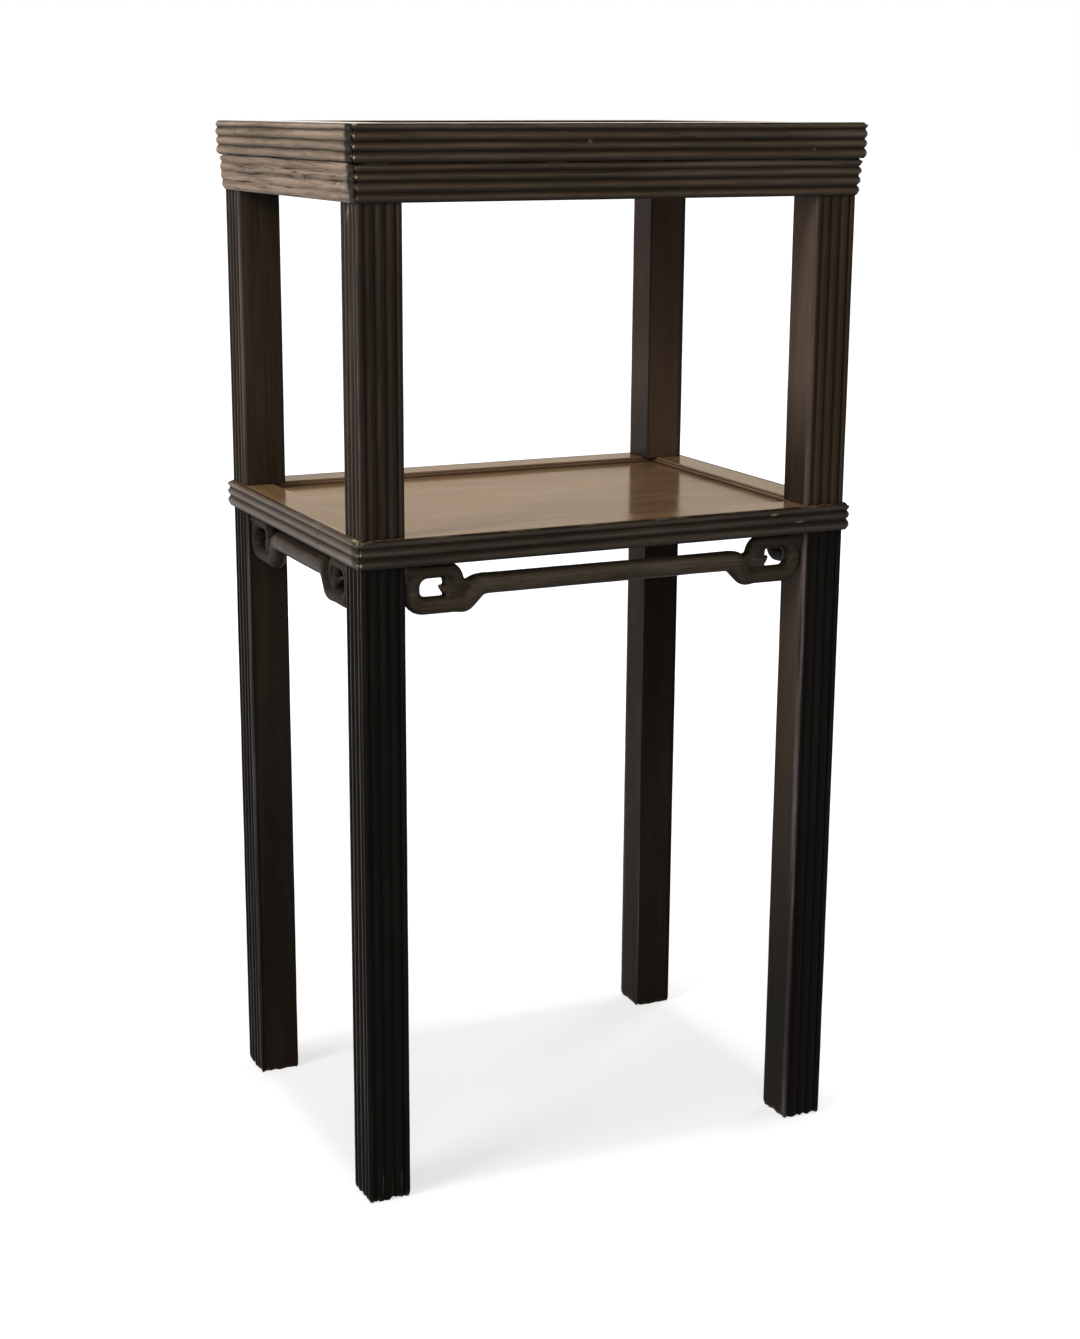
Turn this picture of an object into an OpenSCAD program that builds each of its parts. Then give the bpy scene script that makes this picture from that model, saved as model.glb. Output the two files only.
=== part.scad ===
// Two-tier hardwood plant stand with reeded edges and scroll-ended stretchers.
// Origin: centre of the four feet on the floor. +X to the right, +Y to the back, +Z up.
// Every frame is mitred at its corners, round a loose panel held by a tongue.
// Posts and legs are stub-tenoned into the frames above and below them.

/* [Overall] */
// Height of the stand, floor to the top of the upper frame
stand_h = 800; // [720:5:900]
// Width over the outer faces of the legs, left to right
span_x = 400; // [360:5:480]
// Depth over the outer faces of the legs, front to back
span_y = 296; // [260:5:380]
// Height of the shelf's upper face above the floor
shelf_h = 513.5; // [460:0.5:560]

/* [Posts and legs] */
// Side of the square section of the posts and legs
leg_w = 34; // [32:0.5:38]
// Width of each full reed on the two outer faces
leg_reed = 8; // [6:0.25:8.5]
// Number of full reeds on each outer face
leg_reed_count = 3; // [2:1:3]
// Depth of the grooves between those reeds
leg_groove = 1.5; // [1:0.1:1.8]

/* [Upper frame] */
// Thickness of the upper frame
top_t = 26; // [25:0.5:34]
// Width of each member of the upper frame, seen from above
top_rail_w = 41; // [40:0.5:50]
// Distance that the upper frame stands out past the faces of the posts
top_over = 5.5; // [4.5:0.5:10]
// Number of reeds on the upper frame's edge
top_reeds = 4; // [3:1:5]

/* [Apron] */
// Height of the apron under the upper frame
apron_h = 27; // [20:0.5:34]
// Thickness of the apron boards
apron_t = 12; // [10:0.5:14]
// Distance that the apron stands out past the faces of the posts
apron_over = 3.5; // [2.5:0.25:4]
// Number of reeds on the apron
apron_reeds = 4; // [3:1:5]

/* [Shelf frame] */
// Thickness of the shelf frame
shelf_t = 20.5; // [18.5:0.5:24]
// Width of each member of the shelf frame, seen from above
shelf_rail_w = 28; // [26:0.5:34]
// Distance that the shelf frame stands out past the faces of the legs
shelf_over = 4; // [2.5:0.25:6]
// Number of reeds on the shelf frame's edge
shelf_reeds = 3; // [2:1:4]

/* [Edge reeds and inner step] */
// Depth of the grooves between the reeds of the frames and apron
edge_groove = 1.5; // [1:0.1:1.8]
// Drop of the panels below the upper faces of their frames
recess = 4.2; // [3.6:0.1:5]
// Drop from a frame's upper face to the small step round its panel
step_drop = 2.1; // [1.5:0.1:2.8]
// Width of that small step
step_w = 2; // [1:0.25:3]

/* [Panels and battens] */
// Thickness of the upper panel
top_panel_t = 9; // [8.5:0.5:11]
// Thickness of the shelf panel
shelf_panel_t = 8; // [7.5:0.25:8.5]
// Thickness of the tongue round each panel
tongue_t = 4; // [3:0.25:4]
// Length of that tongue
tongue_l = 5; // [4:0.25:6]
// Width of the batten under each panel
batten_w = 24; // [20:1:40]
// Height of the upper panel's batten below its panel
top_batten_h = 10.5; // [8:0.5:11]
// Height of the shelf panel's batten below its panel
shelf_batten_h = 6.3; // [5.5:0.1:6.4]
// Width of the dovetail key on each batten, at its root
key_w = 12; // [8:1:16]
// Height of the dovetail key in the panel
key_h = 2.5; // [2:0.25:3]

/* [Joints] */
// Side of the square stub tenons on the posts and legs
stub_w = 14; // [10:0.5:15]
// Length of the stub tenons that enter the shelf frame
shelf_stub_l = 6.5; // [4:0.25:6.5]
// Length of the stub tenons that enter the upper frame
top_stub_l = 10; // [6:0.5:11]
// Length that a frame's mitre tenon keeps short of the outer edge
mitre_stop = 8; // [6:0.5:12]
// Clearance on each side of a tenon, tongue or key
fit = 0.15; // [0.1:0.05:0.25]
// Clearance at the blind end of a tenon or tongue
end_gap = 0.3; // [0.3:0.1:0.5]
// Height of the upper panel's tongue above the panel's underside
top_tongue_up = 1.2; // [0.8:0.1:1.5]
// Height of the shelf panel's tongue above the panel's underside
shelf_tongue_up = 0.7; // [0.5:0.1:0.9]
// Thickness of the mitre tenons of the upper frame
top_tenon_t = 6; // [5:0.5:7]
// Distance of those tenons from both edges of their member
top_tenon_in = 12; // [11:0.5:14]
// Drop of those tenons below the level of the panel's tongue
top_tenon_drop = 1; // [0:0.25:1.5]
// Distance of the shelf frame's mitre tenons from the outer edge
shelf_tenon_out = 10; // [9:0.5:12]
// Distance of those tenons from the inner edge
shelf_tenon_in = 6; // [5.5:0.5:8]
// Thickness of the tongue along the apron's upper edge
apron_tongue_t = 4; // [3:0.5:5]
// Height of that tongue
apron_tongue_h = 4; // [3:0.5:5]
// Wood left between a leg's stub and the inner edge of the shelf frame
stub_wall = 3; // [2.5:0.25:4]
// Length of the tenons at the ends of the battens
batten_tenon_l = 5; // [4:0.25:6]
// Width of those tenons
batten_tenon_w = 12; // [10:0.5:16]
// Thickness of those tenons
batten_tenon_t = 4; // [3:0.25:4]
// Drop of those tenons below the batten's upper face
batten_tenon_drop = 1.3; // [1:0.1:1.6]
// Distance that each side of a batten's dovetail key flares
key_flare = 1.5; // [1:0.25:2]

/* [Scroll stretchers] */
// Diameter of the long straight rod
rod_d = 15.8; // [13:0.2:16.4]
// Diameter of the rod where it runs under the scrolls and up beside the legs
scroll_d = 13.6; // [12:0.2:14]
// Diameter of the upper arm and lobe of each scroll
lobe_d = 12; // [11:0.2:12.6]
// Depth of the scroll bracket below the shelf frame
scroll_h = 38.6; // [37:0.2:44]
// Distance from the shelf frame down to the centre of the long rod
rod_drop = 19; // [17:0.5:22]
// Length from the leg to the far side of the scroll's lobe
scroll_l = 48.3; // [46:0.1:54]
// Radius of the scroll's lower outer bend, along its centre line
low_bend = 7.4; // [7.1:0.1:8]
// Radius of the bend of the lobe, along its centre line
high_bend = 9; // [8:0.25:9.5]
// Radius of the bend between the upper arm and the leg, along its centre line
shoulder_bend = 12; // [9:0.5:12.5]
// Radius of the two bends between scroll and long rod
link_bend = 10; // [8:0.5:12]
// Slope of the link between scroll and long rod, in degrees
link_slope = 60; // [52:1:64]
// Distance from the far side of the lobe back to the start of the link
link_back = 2.8; // [2:0.2:4]
// Radius of the curl inside the lobe, along its centre line
curl_bend = 6; // [5.5:0.1:6.5]
// Radius of the curl's own section
curl_r = 4.8; // [4.4:0.1:5]
// Angle that the curl turns through
curl_turn = 110; // [95:1:118]
// Length of the curl's tapered tip
beak_l = 7; // [5:0.5:8]
// Radius of that tip at its end
beak_r = 1.5; // [1:0.1:2]
// Radius of the web in the middle of the curl
eye_r = 6.5; // [6:0.1:7]
// Thickness of that web
eye_t = 9; // [8:0.5:10]
// Drop of that web below the middle of the curl
eye_drop = 1; // [0.5:0.1:1.5]
// Distance that the web between lobe and link reaches past the lobe
web_reach = 6.7; // [5.8:0.1:7.2]
// Distance from the shelf frame down to that web's far upper corner
web_drop = 14.8; // [14.4:0.1:15.6]
// Size of the block that fills the corner between the leg and the shelf frame
filler = 10; // [8:0.5:11]
// Distance that this block keeps from the leg and from the shelf frame
filler_gap = 0.3; // [0.2:0.1:0.5]
// Distance that the long rod is set back behind the leg's face
rod_back = 1; // [0.5:0.25:3]
// Thickness of the tenon that fixes each scroll to its leg
scroll_tenon_t = 6; // [5:0.5:7]
// Height of that tenon
scroll_tenon_h = 10; // [8:0.5:11]
// Length of that tenon inside the leg
scroll_tenon_l = 8; // [6:0.5:10]

/* [Hidden] */
$fn = 64;

// Heights of the faces that the pieces meet on
top_bottom = stand_h - top_t;
apron_bottom = top_bottom - apron_h;
shelf_bottom = shelf_h - shelf_t;

// Overlap that keeps a cut clear of the face it passes through
cut = 1;
// Depth that the plain core reaches into the back of each reed
bite = 0.35;
// Overlap of neighbouring reeds on a post, so that they join
lap = 0.01;

// Upper frame: levels measured from its underside
top_tongue_z = top_t - recess - top_panel_t + top_tongue_up;
top_tenon_z = top_tongue_z - top_tenon_drop;
top_tenon_from = top_tenon_in;
top_tenon_to = top_rail_w - top_tenon_in;

// Shelf frame: levels measured from its underside
shelf_tongue_z = shelf_t - recess - shelf_panel_t + shelf_tongue_up;
shelf_tenon_z = shelf_tongue_z;
shelf_tenon_t = tongue_t;
shelf_tenon_from = shelf_tenon_out;
shelf_tenon_to = shelf_rail_w - shelf_tenon_in;

// Apron: its inner face, and the tongue along its upper edge
apron_inner = apron_t - apron_over;
apron_tongue_y = apron_inner - apron_t / 2 - apron_tongue_t / 2;

// Posts: the stub sits in the middle of the part that passes behind the apron
post_neck = leg_w - apron_inner;
top_stub_at = apron_inner + (post_neck - stub_w) / 2;
// The lower stub keeps inside the members of the shelf frame
shelf_stub_at = shelf_rail_w - shelf_over - stub_wall - stub_w;

// Stretchers: centre lines, measured from the leg and from the shelf frame
rod_r = rod_d / 2;
scroll_r = scroll_d / 2;
lobe_r = lobe_d / 2;
low_line = scroll_h - scroll_r;
lobe_x = scroll_l - lobe_r - high_bend;
lobe_z = -lobe_r - high_bend;
link_drop = low_line - rod_drop;
link_straight = (link_drop - 2 * link_bend * (1 - cos(link_slope))) / sin(link_slope);
link_run = 2 * link_bend * sin(link_slope) + link_straight * cos(link_slope);
link_x = scroll_l - link_back;
// Swelling that closes the joints between straight and bent rods
knuckle = 0.1;
stretcher_y = rod_back + rod_r;
scroll_tenon_z = (low_bend - low_line - lobe_r - shoulder_bend) / 2;

rail_color = [0.20, 0.15, 0.12];
panel_color = [0.34, 0.26, 0.20];
leg_color = [0.14, 0.11, 0.09];

// Radius of a round reed with a given width and groove depth
function reed_radius(width, groove) = (width * width / 4 + groove * groove) / (2 * groove);

// Radius of the reed that wraps a corner of a post
function corner_radius(width, groove) = width + groove - sqrt(2 * width * groove);

// Length of a side, and the distance of its faces from the middle
function side_len(i) = i % 2 == 0 ? span_x : span_y;
function side_off(i) = (i % 2 == 0 ? span_y : span_x) / 2;

// Places a piece drawn for the front (0) on the right (1), back (2) or left (3).
// Its y is 0 on the legs' outer face and grows inwards.
module on_side(i)
{
    rotate([0, 0, 90 * i])
        translate([0, -side_off(i), 0])
            children();
}

// Places a piece drawn at the front left corner on corner 0 to 3, counter-clockwise.
// Its x and y are 0 on the two outer faces and grow inwards.
module on_corner(i)
{
    sx = (i == 0 || i == 3) ? -1 : 1;
    sy = i < 2 ? -1 : 1;
    translate([sx * span_x / 2, sy * span_y / 2, 0])
        rotate([0, 0, 90 * i])
            children();
}

// Outline of a reeded edge: width is along x, height along y, reeds at x = 0.
module reeded_block(width, height, count)
{
    pitch = height / count;
    r = reed_radius(pitch, edge_groove);
    translate([edge_groove + bite, 0])
        square([width - edge_groove - bite, height]);
    intersection() {
        square([2 * r, height]);
        for (i = [0 : count - 1])
            translate([r, (i + 0.5) * pitch])
                circle(r);
    }
}

// Section of a frame member: reeds outside, small step and panel groove inside.
module rail_section(width, height, count, groove_z)
{
    inner = width + step_w;
    difference() {
        union() {
            reeded_block(width, height, count);
            translate([width - cut, 0])
                square([step_w + cut, height - step_drop]);
        }
        translate([inner - tongue_l - end_gap, groove_z])
            square([tongue_l + end_gap + cut, tongue_t + fit]);
    }
}

// Plan of a member mitred at both ends: long edge at y = 0.
module mitre_plan(length, width)
{
    polygon([
        [-length / 2, 0],
        [length / 2, 0],
        [length / 2 - width, width],
        [-length / 2 + width, width]
    ]);
}

// Tenons through the mitres at both ends of a front or back member.
module mitre_tenons(length, from, to, z, height)
{
    root = to + cut;
    for (s = [-1, 1])
        translate([s > 0 ? length / 2 - root : -length / 2 + mitre_stop, from, z])
            cube([root - mitre_stop, to - from, height]);
}

// Mortises for those tenons in a left or right member, where length and width swap.
module mitre_mortises(length, from, to, z, height)
{
    bottom = mitre_stop - end_gap;
    for (s = [-1, 1])
        translate([s > 0 ? length / 2 - to - fit : -length / 2 + from - fit, bottom, z - fit])
            cube([to - from + 2 * fit, to + cut - bottom, height + 2 * fit]);
}

// Frame member for side i, mitred, with tenons front and back and mortises left and right.
module frame_rail(i, over, width, height, count, groove_z, tenon_from, tenon_to, tenon_z, tenon_t)
{
    length = side_len(i) + 2 * over;
    full = width + step_w;
    on_side(i)
        translate([0, -over, 0])
            difference() {
                union() {
                    intersection() {
                        translate([-length / 2 - cut, 0, 0])
                            rotate([90, 0, 90])
                                linear_extrude(length + 2 * cut)
                                    rail_section(width, height, count, groove_z);
                        translate([0, 0, -cut])
                            linear_extrude(height + 2 * cut)
                                mitre_plan(length, full);
                    }
                    if (i % 2 == 0)
                        mitre_tenons(length, tenon_from, tenon_to, tenon_z, tenon_t);
                }
                if (i % 2 == 1)
                    mitre_mortises(length, tenon_from, tenon_to, tenon_z, tenon_t);
            }
}

// Stub tenon with its outer corner at (at, at); grow is the mortise's side clearance.
module stub(at, length, grow)
{
    translate([at - grow, at - grow, 0])
        cube([stub_w + 2 * grow, stub_w + 2 * grow, length]);
}

// Mortises of the upper frame: post stubs and the apron's tongue.
module top_frame_cuts()
{
    for (i = [0 : 3]) {
        on_corner(i)
            translate([0, 0, -cut])
                stub(top_stub_at, top_stub_l + end_gap + cut, fit);
        on_side(i)
            apron_tongue(i, fit, end_gap);
    }
}

// Mortises of the shelf frame: stubs of the posts above and of the legs below.
module shelf_frame_cuts()
{
    for (i = [0 : 3])
        on_corner(i) {
            translate([0, 0, shelf_t - shelf_stub_l - end_gap])
                stub(shelf_stub_at, shelf_stub_l + end_gap + cut, fit);
            translate([0, 0, -cut])
                stub(shelf_stub_at, shelf_stub_l + end_gap + cut, fit);
        }
}

module top_rail(i)
{
    color(rail_color)
        translate([0, 0, top_bottom])
            difference() {
                frame_rail(i, top_over, top_rail_w, top_t, top_reeds, top_tongue_z,
                    top_tenon_from, top_tenon_to, top_tenon_z, top_tenon_t);
                top_frame_cuts();
                batten_ends(top_over, top_rail_w, top_batten_z(), fit);
            }
}

module shelf_rail(i)
{
    color(rail_color)
        translate([0, 0, shelf_bottom])
            difference() {
                frame_rail(i, shelf_over, shelf_rail_w, shelf_t, shelf_reeds, shelf_tongue_z,
                    shelf_tenon_from, shelf_tenon_to, shelf_tenon_z, shelf_tenon_t);
                shelf_frame_cuts();
                batten_ends(shelf_over, shelf_rail_w, shelf_batten_z(), fit);
            }
}

// Level of a batten's upper face, measured from the underside of its frame
function top_batten_z() = top_t - recess - top_panel_t;
function shelf_batten_z() = shelf_t - recess - shelf_panel_t;

// Half of the clear opening of a frame, from the middle to the step's inner face
function half_open(i, over, width) = side_off(i) + over - width - step_w;

// Stub tenons at the two ends of a batten whose upper face is at z.
module batten_ends(over, width, z, grow)
{
    face = half_open(0, over, width);
    reach = batten_tenon_l + (grow > 0 ? end_gap : 0);
    for (s = [-1, 1])
        translate([
            -batten_tenon_w / 2 - grow,
            s > 0 ? face - cut : -face - reach,
            z - batten_tenon_drop - batten_tenon_t - grow
        ])
            cube([batten_tenon_w + 2 * grow, reach + cut, batten_tenon_t + 2 * grow]);
}

// Dovetail key on top of a batten; half is the batten's half length.
module dovetail(half, grow)
{
    rotate([90, 0, 0])
        translate([0, 0, -half])
            linear_extrude(2 * half)
                polygon([
                    [-key_w / 2 - grow, -grow],
                    [key_w / 2 + grow, -grow],
                    [key_w / 2 + key_flare + grow, key_h + grow],
                    [-key_w / 2 - key_flare - grow, key_h + grow]
                ]);
}

// Batten under a panel, running front to back.
module batten(over, width, height)
{
    half = half_open(0, over, width);
    color(rail_color) {
        translate([-batten_w / 2, -half, -height])
            cube([batten_w, 2 * half, height]);
        dovetail(half - end_gap, 0);
        batten_ends(over, width, 0, 0);
    }
}

// Loose panel with a tongue on all four edges and a dovetail groove underneath.
module panel(over, width, thickness, tongue_z)
{
    half_x = half_open(1, over, width) - end_gap;
    half_y = half_open(0, over, width) - end_gap;
    reach = tongue_l + end_gap;
    color(panel_color)
        difference() {
            union() {
                translate([-half_x, -half_y, 0])
                    cube([2 * half_x, 2 * half_y, thickness]);
                translate([-half_x - reach, -half_y - reach, tongue_z])
                    cube([2 * (half_x + reach), 2 * (half_y + reach), tongue_t]);
            }
            dovetail(half_y + cut, fit);
        }
}

// Tongue along the upper edge of the apron on side i.
module apron_tongue(i, grow, deeper)
{
    length = side_len(i) - 2 * apron_inner;
    lead = grow > 0 ? end_gap : 0;
    translate([-length / 2 - lead, apron_tongue_y - grow, -cut])
        cube([length + 2 * lead, apron_tongue_t + 2 * grow, apron_tongue_h + deeper + cut]);
}

module apron(i)
{
    length = side_len(i) + 2 * apron_over;
    color(rail_color)
        translate([0, 0, apron_bottom])
            on_side(i) {
                translate([0, -apron_over, 0])
                    intersection() {
                        translate([-length / 2 - cut, 0, 0])
                            rotate([90, 0, 90])
                                linear_extrude(length + 2 * cut)
                                    reeded_block(apron_t, apron_h, apron_reeds);
                        translate([0, 0, -cut])
                            linear_extrude(apron_h + 2 * cut)
                                mitre_plan(length, apron_t);
                    }
                translate([0, 0, apron_h])
                    apron_tongue(i, 0, 0);
            }
}

// Section of a post or leg: outer faces along x = 0 and y = 0.
module leg_section()
{
    edge = (leg_w - leg_reed * leg_reed_count) / 2;
    r = reed_radius(leg_reed, leg_groove);
    rc = corner_radius(edge, leg_groove);
    start = leg_groove + bite;
    translate([start, start])
        square([leg_w - start, leg_w - start]);
    translate([rc, rc])
        circle(rc);
    for (turned = [false, true])
        mirror([turned ? 1 : 0, turned ? -1 : 0]) {
            for (i = [0 : leg_reed_count - 1])
                intersection() {
                    translate([edge + (i + 0.5) * leg_reed, r])
                        circle(r);
                    translate([edge + i * leg_reed - lap, 0])
                        square([leg_reed + 2 * lap, 2 * start]);
                }
            translate([leg_w - rc, rc])
                circle(rc - 2 * lap);
        }
}

// Post between shelf and upper frame, necked where it passes behind the apron.
module post(i)
{
    length = apron_bottom - shelf_h;
    color(leg_color)
        on_corner(i) {
            translate([0, 0, shelf_h])
                linear_extrude(length)
                    leg_section();
            translate([apron_inner, apron_inner, apron_bottom])
                cube([post_neck, post_neck, apron_h]);
            translate([0, 0, top_bottom])
                stub(top_stub_at, top_stub_l, 0);
            translate([0, 0, shelf_h - shelf_stub_l])
                stub(shelf_stub_at, shelf_stub_l, 0);
        }
}

// Mortise in a leg for the tenon of one stretcher.
module leg_mortise()
{
    translate([
        leg_w - scroll_tenon_l - end_gap,
        stretcher_y - scroll_tenon_t / 2 - fit,
        shelf_bottom + scroll_tenon_z - scroll_tenon_h / 2 - fit
    ])
        cube([scroll_tenon_l + end_gap + cut, scroll_tenon_t + 2 * fit, scroll_tenon_h + 2 * fit]);
}

// Leg from the floor to the shelf frame.
module leg(i)
{
    color(leg_color)
        on_corner(i)
            difference() {
                union() {
                    linear_extrude(shelf_bottom)
                        leg_section();
                    translate([0, 0, shelf_bottom])
                        stub(shelf_stub_at, shelf_stub_l, 0);
                }
                leg_mortise();
                mirror([1, -1, 0])
                    leg_mortise();
            }
}

// Straight round rod between two points of the x-z plane.
module rod_line(a, b, ra, rb)
{
    d = b - a;
    translate([a[0], 0, a[1]])
        rotate([0, atan2(d[0], d[1]), 0])
            cylinder(h = norm(d), r1 = ra, r2 = rb);
}

// Slight swelling where a straight rod meets a bend.
module rod_knuckle(at, r)
{
    translate([at[0], 0, at[1]])
        sphere(r + knuckle);
}

// Bent round rod in the x-z plane, from angle a0 over a turn, about a centre.
module rod_bend(centre, bend, a0, turn, r)
{
    translate([centre[0], 0, centre[1]])
        rotate([90, 0, 0])
            rotate([0, 0, turn < 0 ? a0 + turn : a0])
                rotate_extrude(angle = abs(turn))
                    translate([bend, 0])
                        circle(r);
}

// Half of a stretcher: x from the leg's inner face, z from the shelf frame.
module scroll_half(middle)
{
    bar = link_x + link_run;
    shoulder = [scroll_r, -lobe_r - shoulder_bend];
    foot = [
        link_x + link_bend * sin(link_slope),
        -low_line + link_bend * (1 - cos(link_slope))
    ];
    head = [
        bar - link_bend * sin(link_slope),
        -rod_drop - link_bend * (1 - cos(link_slope))
    ];
    curl = [scroll_l - knuckle - curl_r - curl_bend, lobe_z];
    eye = curl - [0, eye_drop];
    curl_end = curl + curl_bend * [cos(curl_turn), -sin(curl_turn)];
    beak = curl_end + beak_l * [-sin(curl_turn), -cos(curl_turn)];
    rod_line([bar, -rod_drop], [middle + cut, -rod_drop], rod_r, rod_r);
    rod_bend([bar, -rod_drop - link_bend], link_bend, 90, link_slope, rod_r);
    rod_line(head, foot, rod_r, scroll_r);
    rod_knuckle(head, rod_r);
    rod_knuckle(foot, scroll_r);
    rod_bend([link_x, -low_line + link_bend], link_bend, -90, link_slope, scroll_r);
    rod_line([link_x, -low_line], [scroll_r + low_bend, -low_line], scroll_r, scroll_r);
    rod_bend([scroll_r + low_bend, -low_line + low_bend], low_bend, 180, 90, scroll_r);
    rod_line([scroll_r, -low_line + low_bend], shoulder, scroll_r, scroll_r);
    rod_knuckle(shoulder, scroll_r);
    rod_bend([scroll_r + shoulder_bend, shoulder[1]], shoulder_bend, 90, 90, lobe_r);
    rod_line([scroll_r + shoulder_bend, -lobe_r], [lobe_x, -lobe_r], lobe_r, lobe_r);
    rod_bend([lobe_x, lobe_z], high_bend, 0, 90, lobe_r);
    rod_bend(curl, curl_bend, 0, -curl_turn, curl_r);
    rod_line(curl_end, beak, curl_r, beak_r);
    rod_knuckle(curl_end, curl_r);
    translate([0, eye_t / 2, 0])
        rotate([90, 0, 0])
            linear_extrude(eye_t) {
                translate(eye)
                    circle(eye_r);
                polygon([eye, [curl[0], -low_line], foot, [scroll_l + web_reach, -web_drop]]);
            }
    translate([filler_gap, -eye_t / 2, -filler])
        cube([filler - filler_gap, eye_t, filler - filler_gap]);
    translate([-scroll_tenon_l, -scroll_tenon_t / 2, scroll_tenon_z - scroll_tenon_h / 2])
        cube([scroll_tenon_l + scroll_r, scroll_tenon_t, scroll_tenon_h]);
}

// Stretcher on side i: a long rod with a scroll at each end.
module stretcher(i)
{
    middle = side_len(i) / 2 - leg_w;
    color(rail_color)
        on_side(i)
            translate([0, stretcher_y, shelf_bottom])
                for (s = [0, 1])
                    mirror([s, 0, 0])
                        translate([-middle, 0, 0])
                            scroll_half(middle);
}

module top_panel()
{
    translate([0, 0, top_bottom + top_batten_z()])
        panel(top_over, top_rail_w, top_panel_t, top_tongue_z - top_batten_z());
}

module top_batten()
{
    translate([0, 0, top_bottom + top_batten_z()])
        batten(top_over, top_rail_w, top_batten_h);
}

module shelf_panel()
{
    translate([0, 0, shelf_bottom + shelf_batten_z()])
        panel(shelf_over, shelf_rail_w, shelf_panel_t, shelf_tongue_z - shelf_batten_z());
}

module shelf_batten()
{
    translate([0, 0, shelf_bottom + shelf_batten_z()])
        batten(shelf_over, shelf_rail_w, shelf_batten_h);
}

top_rail(0);  // top_rail_front
top_rail(1);  // top_rail_right
top_rail(2);  // top_rail_back
top_rail(3);  // top_rail_left
top_panel();
top_batten();
apron(0);  // apron_front
apron(1);  // apron_right
apron(2);  // apron_back
apron(3);  // apron_left
post(0);  // post_front_left
post(1);  // post_front_right
post(2);  // post_back_right
post(3);  // post_back_left
shelf_rail(0);  // shelf_rail_front
shelf_rail(1);  // shelf_rail_right
shelf_rail(2);  // shelf_rail_back
shelf_rail(3);  // shelf_rail_left
shelf_panel();
shelf_batten();
stretcher(0);  // stretcher_front
stretcher(1);  // stretcher_right
stretcher(2);  // stretcher_back
stretcher(3);  // stretcher_left
leg(0);  // leg_front_left
leg(1);  // leg_front_right
leg(2);  // leg_back_right
leg(3);  // leg_back_left
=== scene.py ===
from collections import namedtuple
from math import asin, atan2, cos, pi, radians, sin, sqrt

import bmesh
import bpy
import numpy as np
from mathutils import Matrix, Vector


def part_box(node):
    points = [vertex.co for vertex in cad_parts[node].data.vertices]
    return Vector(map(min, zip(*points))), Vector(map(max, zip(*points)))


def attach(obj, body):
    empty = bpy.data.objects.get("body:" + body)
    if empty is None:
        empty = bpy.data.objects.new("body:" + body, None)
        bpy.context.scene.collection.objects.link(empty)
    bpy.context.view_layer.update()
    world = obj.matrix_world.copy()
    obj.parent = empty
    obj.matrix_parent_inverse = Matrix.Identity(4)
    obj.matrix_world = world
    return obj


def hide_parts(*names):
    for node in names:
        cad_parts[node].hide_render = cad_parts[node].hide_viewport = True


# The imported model. Its boxes give the size and place of every piece below.
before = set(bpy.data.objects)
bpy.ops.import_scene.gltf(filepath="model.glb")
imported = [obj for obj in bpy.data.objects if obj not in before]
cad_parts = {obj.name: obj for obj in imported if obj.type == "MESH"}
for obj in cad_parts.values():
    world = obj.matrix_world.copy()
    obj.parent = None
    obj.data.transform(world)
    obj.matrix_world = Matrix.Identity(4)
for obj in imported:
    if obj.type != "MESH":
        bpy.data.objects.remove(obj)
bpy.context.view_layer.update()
scene = bpy.context.scene

# Lengths are in millimetres until a mesh is made.
MM = 0.001

# Fixed sizes of the frames: grooves, the step round the panel, and the sunk panel
EDGE_GROOVE = 1.5
STEP_DROP = 2.1
STEP_W = 2.0
RECESS = 4.2
PANEL_GAP = 0.3
PANEL_EDGE = 0.3

# Heights of the grooves above each member's foot, as on the real stand
TOP_GROOVES = [0, 7.5, 14.2, 21.5, 26]
APRON_GROOVES = [0, 6.9, 14.3, 21.0, 27]
SHELF_GROOVES = [0, 8.0, 15.1, 20.5]
APRON_TAPER = 1.5

# Wear at the mitres: round outer edge, fine line, chips, notch in the top edge, painted glint
CORNER_R = 2.8
OUTER_W = 12.0
SEAM_W = 0.7
CHIP_W = 1.8
CHIP_DEPTH = 0.7
NOTCH_W = 2.6
NOTCH_DEPTH = 2.6
GLINT_AT = 1.7
GLINT_W = 0.6

# Dark band at the front end of faded members, and where their bleaching starts
BAND_W = 14
BLEACH_START = 11
BLEACH_RUN = 6

# Posts and legs
LEG_REEDS = 3
LEG_REED_W = 8.0
LEG_GROOVE = 1.5
LEG_ARRIS = 0.8
FOOT_WEAR = 6.0

# Crest value that marks the faces without reeds
PLAIN = 0.9

# Stretchers: sizes measured from the leg (x) and from the shelf frame (z)
ROD_R = 7.9
ARM_R = 6.8
LOBE_R = 6.0
ROD_Z = -19.0
ARM_Z = -31.8
SIDE_LIFT = 3.8
SCROLL_END = 62

# How their forms are made: voxels, softened edges of slabs, longest reach of a tube's round end
VOXEL = 0.8
SLAB_EDGE = 1.2
CAP_REACH = 2.0

# Points along a piece: the usual step, and the closer places near both ends
MEMBER_STEP = 1.5
MEMBER_ENDS = (0.0, 0.12, 0.3, 0.6, 1.0, 1.5, 2.1, 2.8, 3.6, 4.5, 5.5, 6.6, 8.0)
BOARD_STEP = 4.0
BOARD_ENDS = (0.0, 0.2, 0.6, 1.4, 3.0)
UPRIGHT_STEP = 2.5
UPRIGHT_ENDS = (0.0, 0.25, 0.7, 1.3, 2.0, 3.0, 4.5)

# Points across a reed and on a post's corner, across a panel, round a tube and on a bend
REED_POINTS = 14
BOARD_POINTS = 48
TUBE_SIDES = 28
BEND_POINTS = 12

# Angles, in degrees, beyond which edges stay sharp
SHARP_EDGE = 40
SHARP_CARVING = 60

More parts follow.
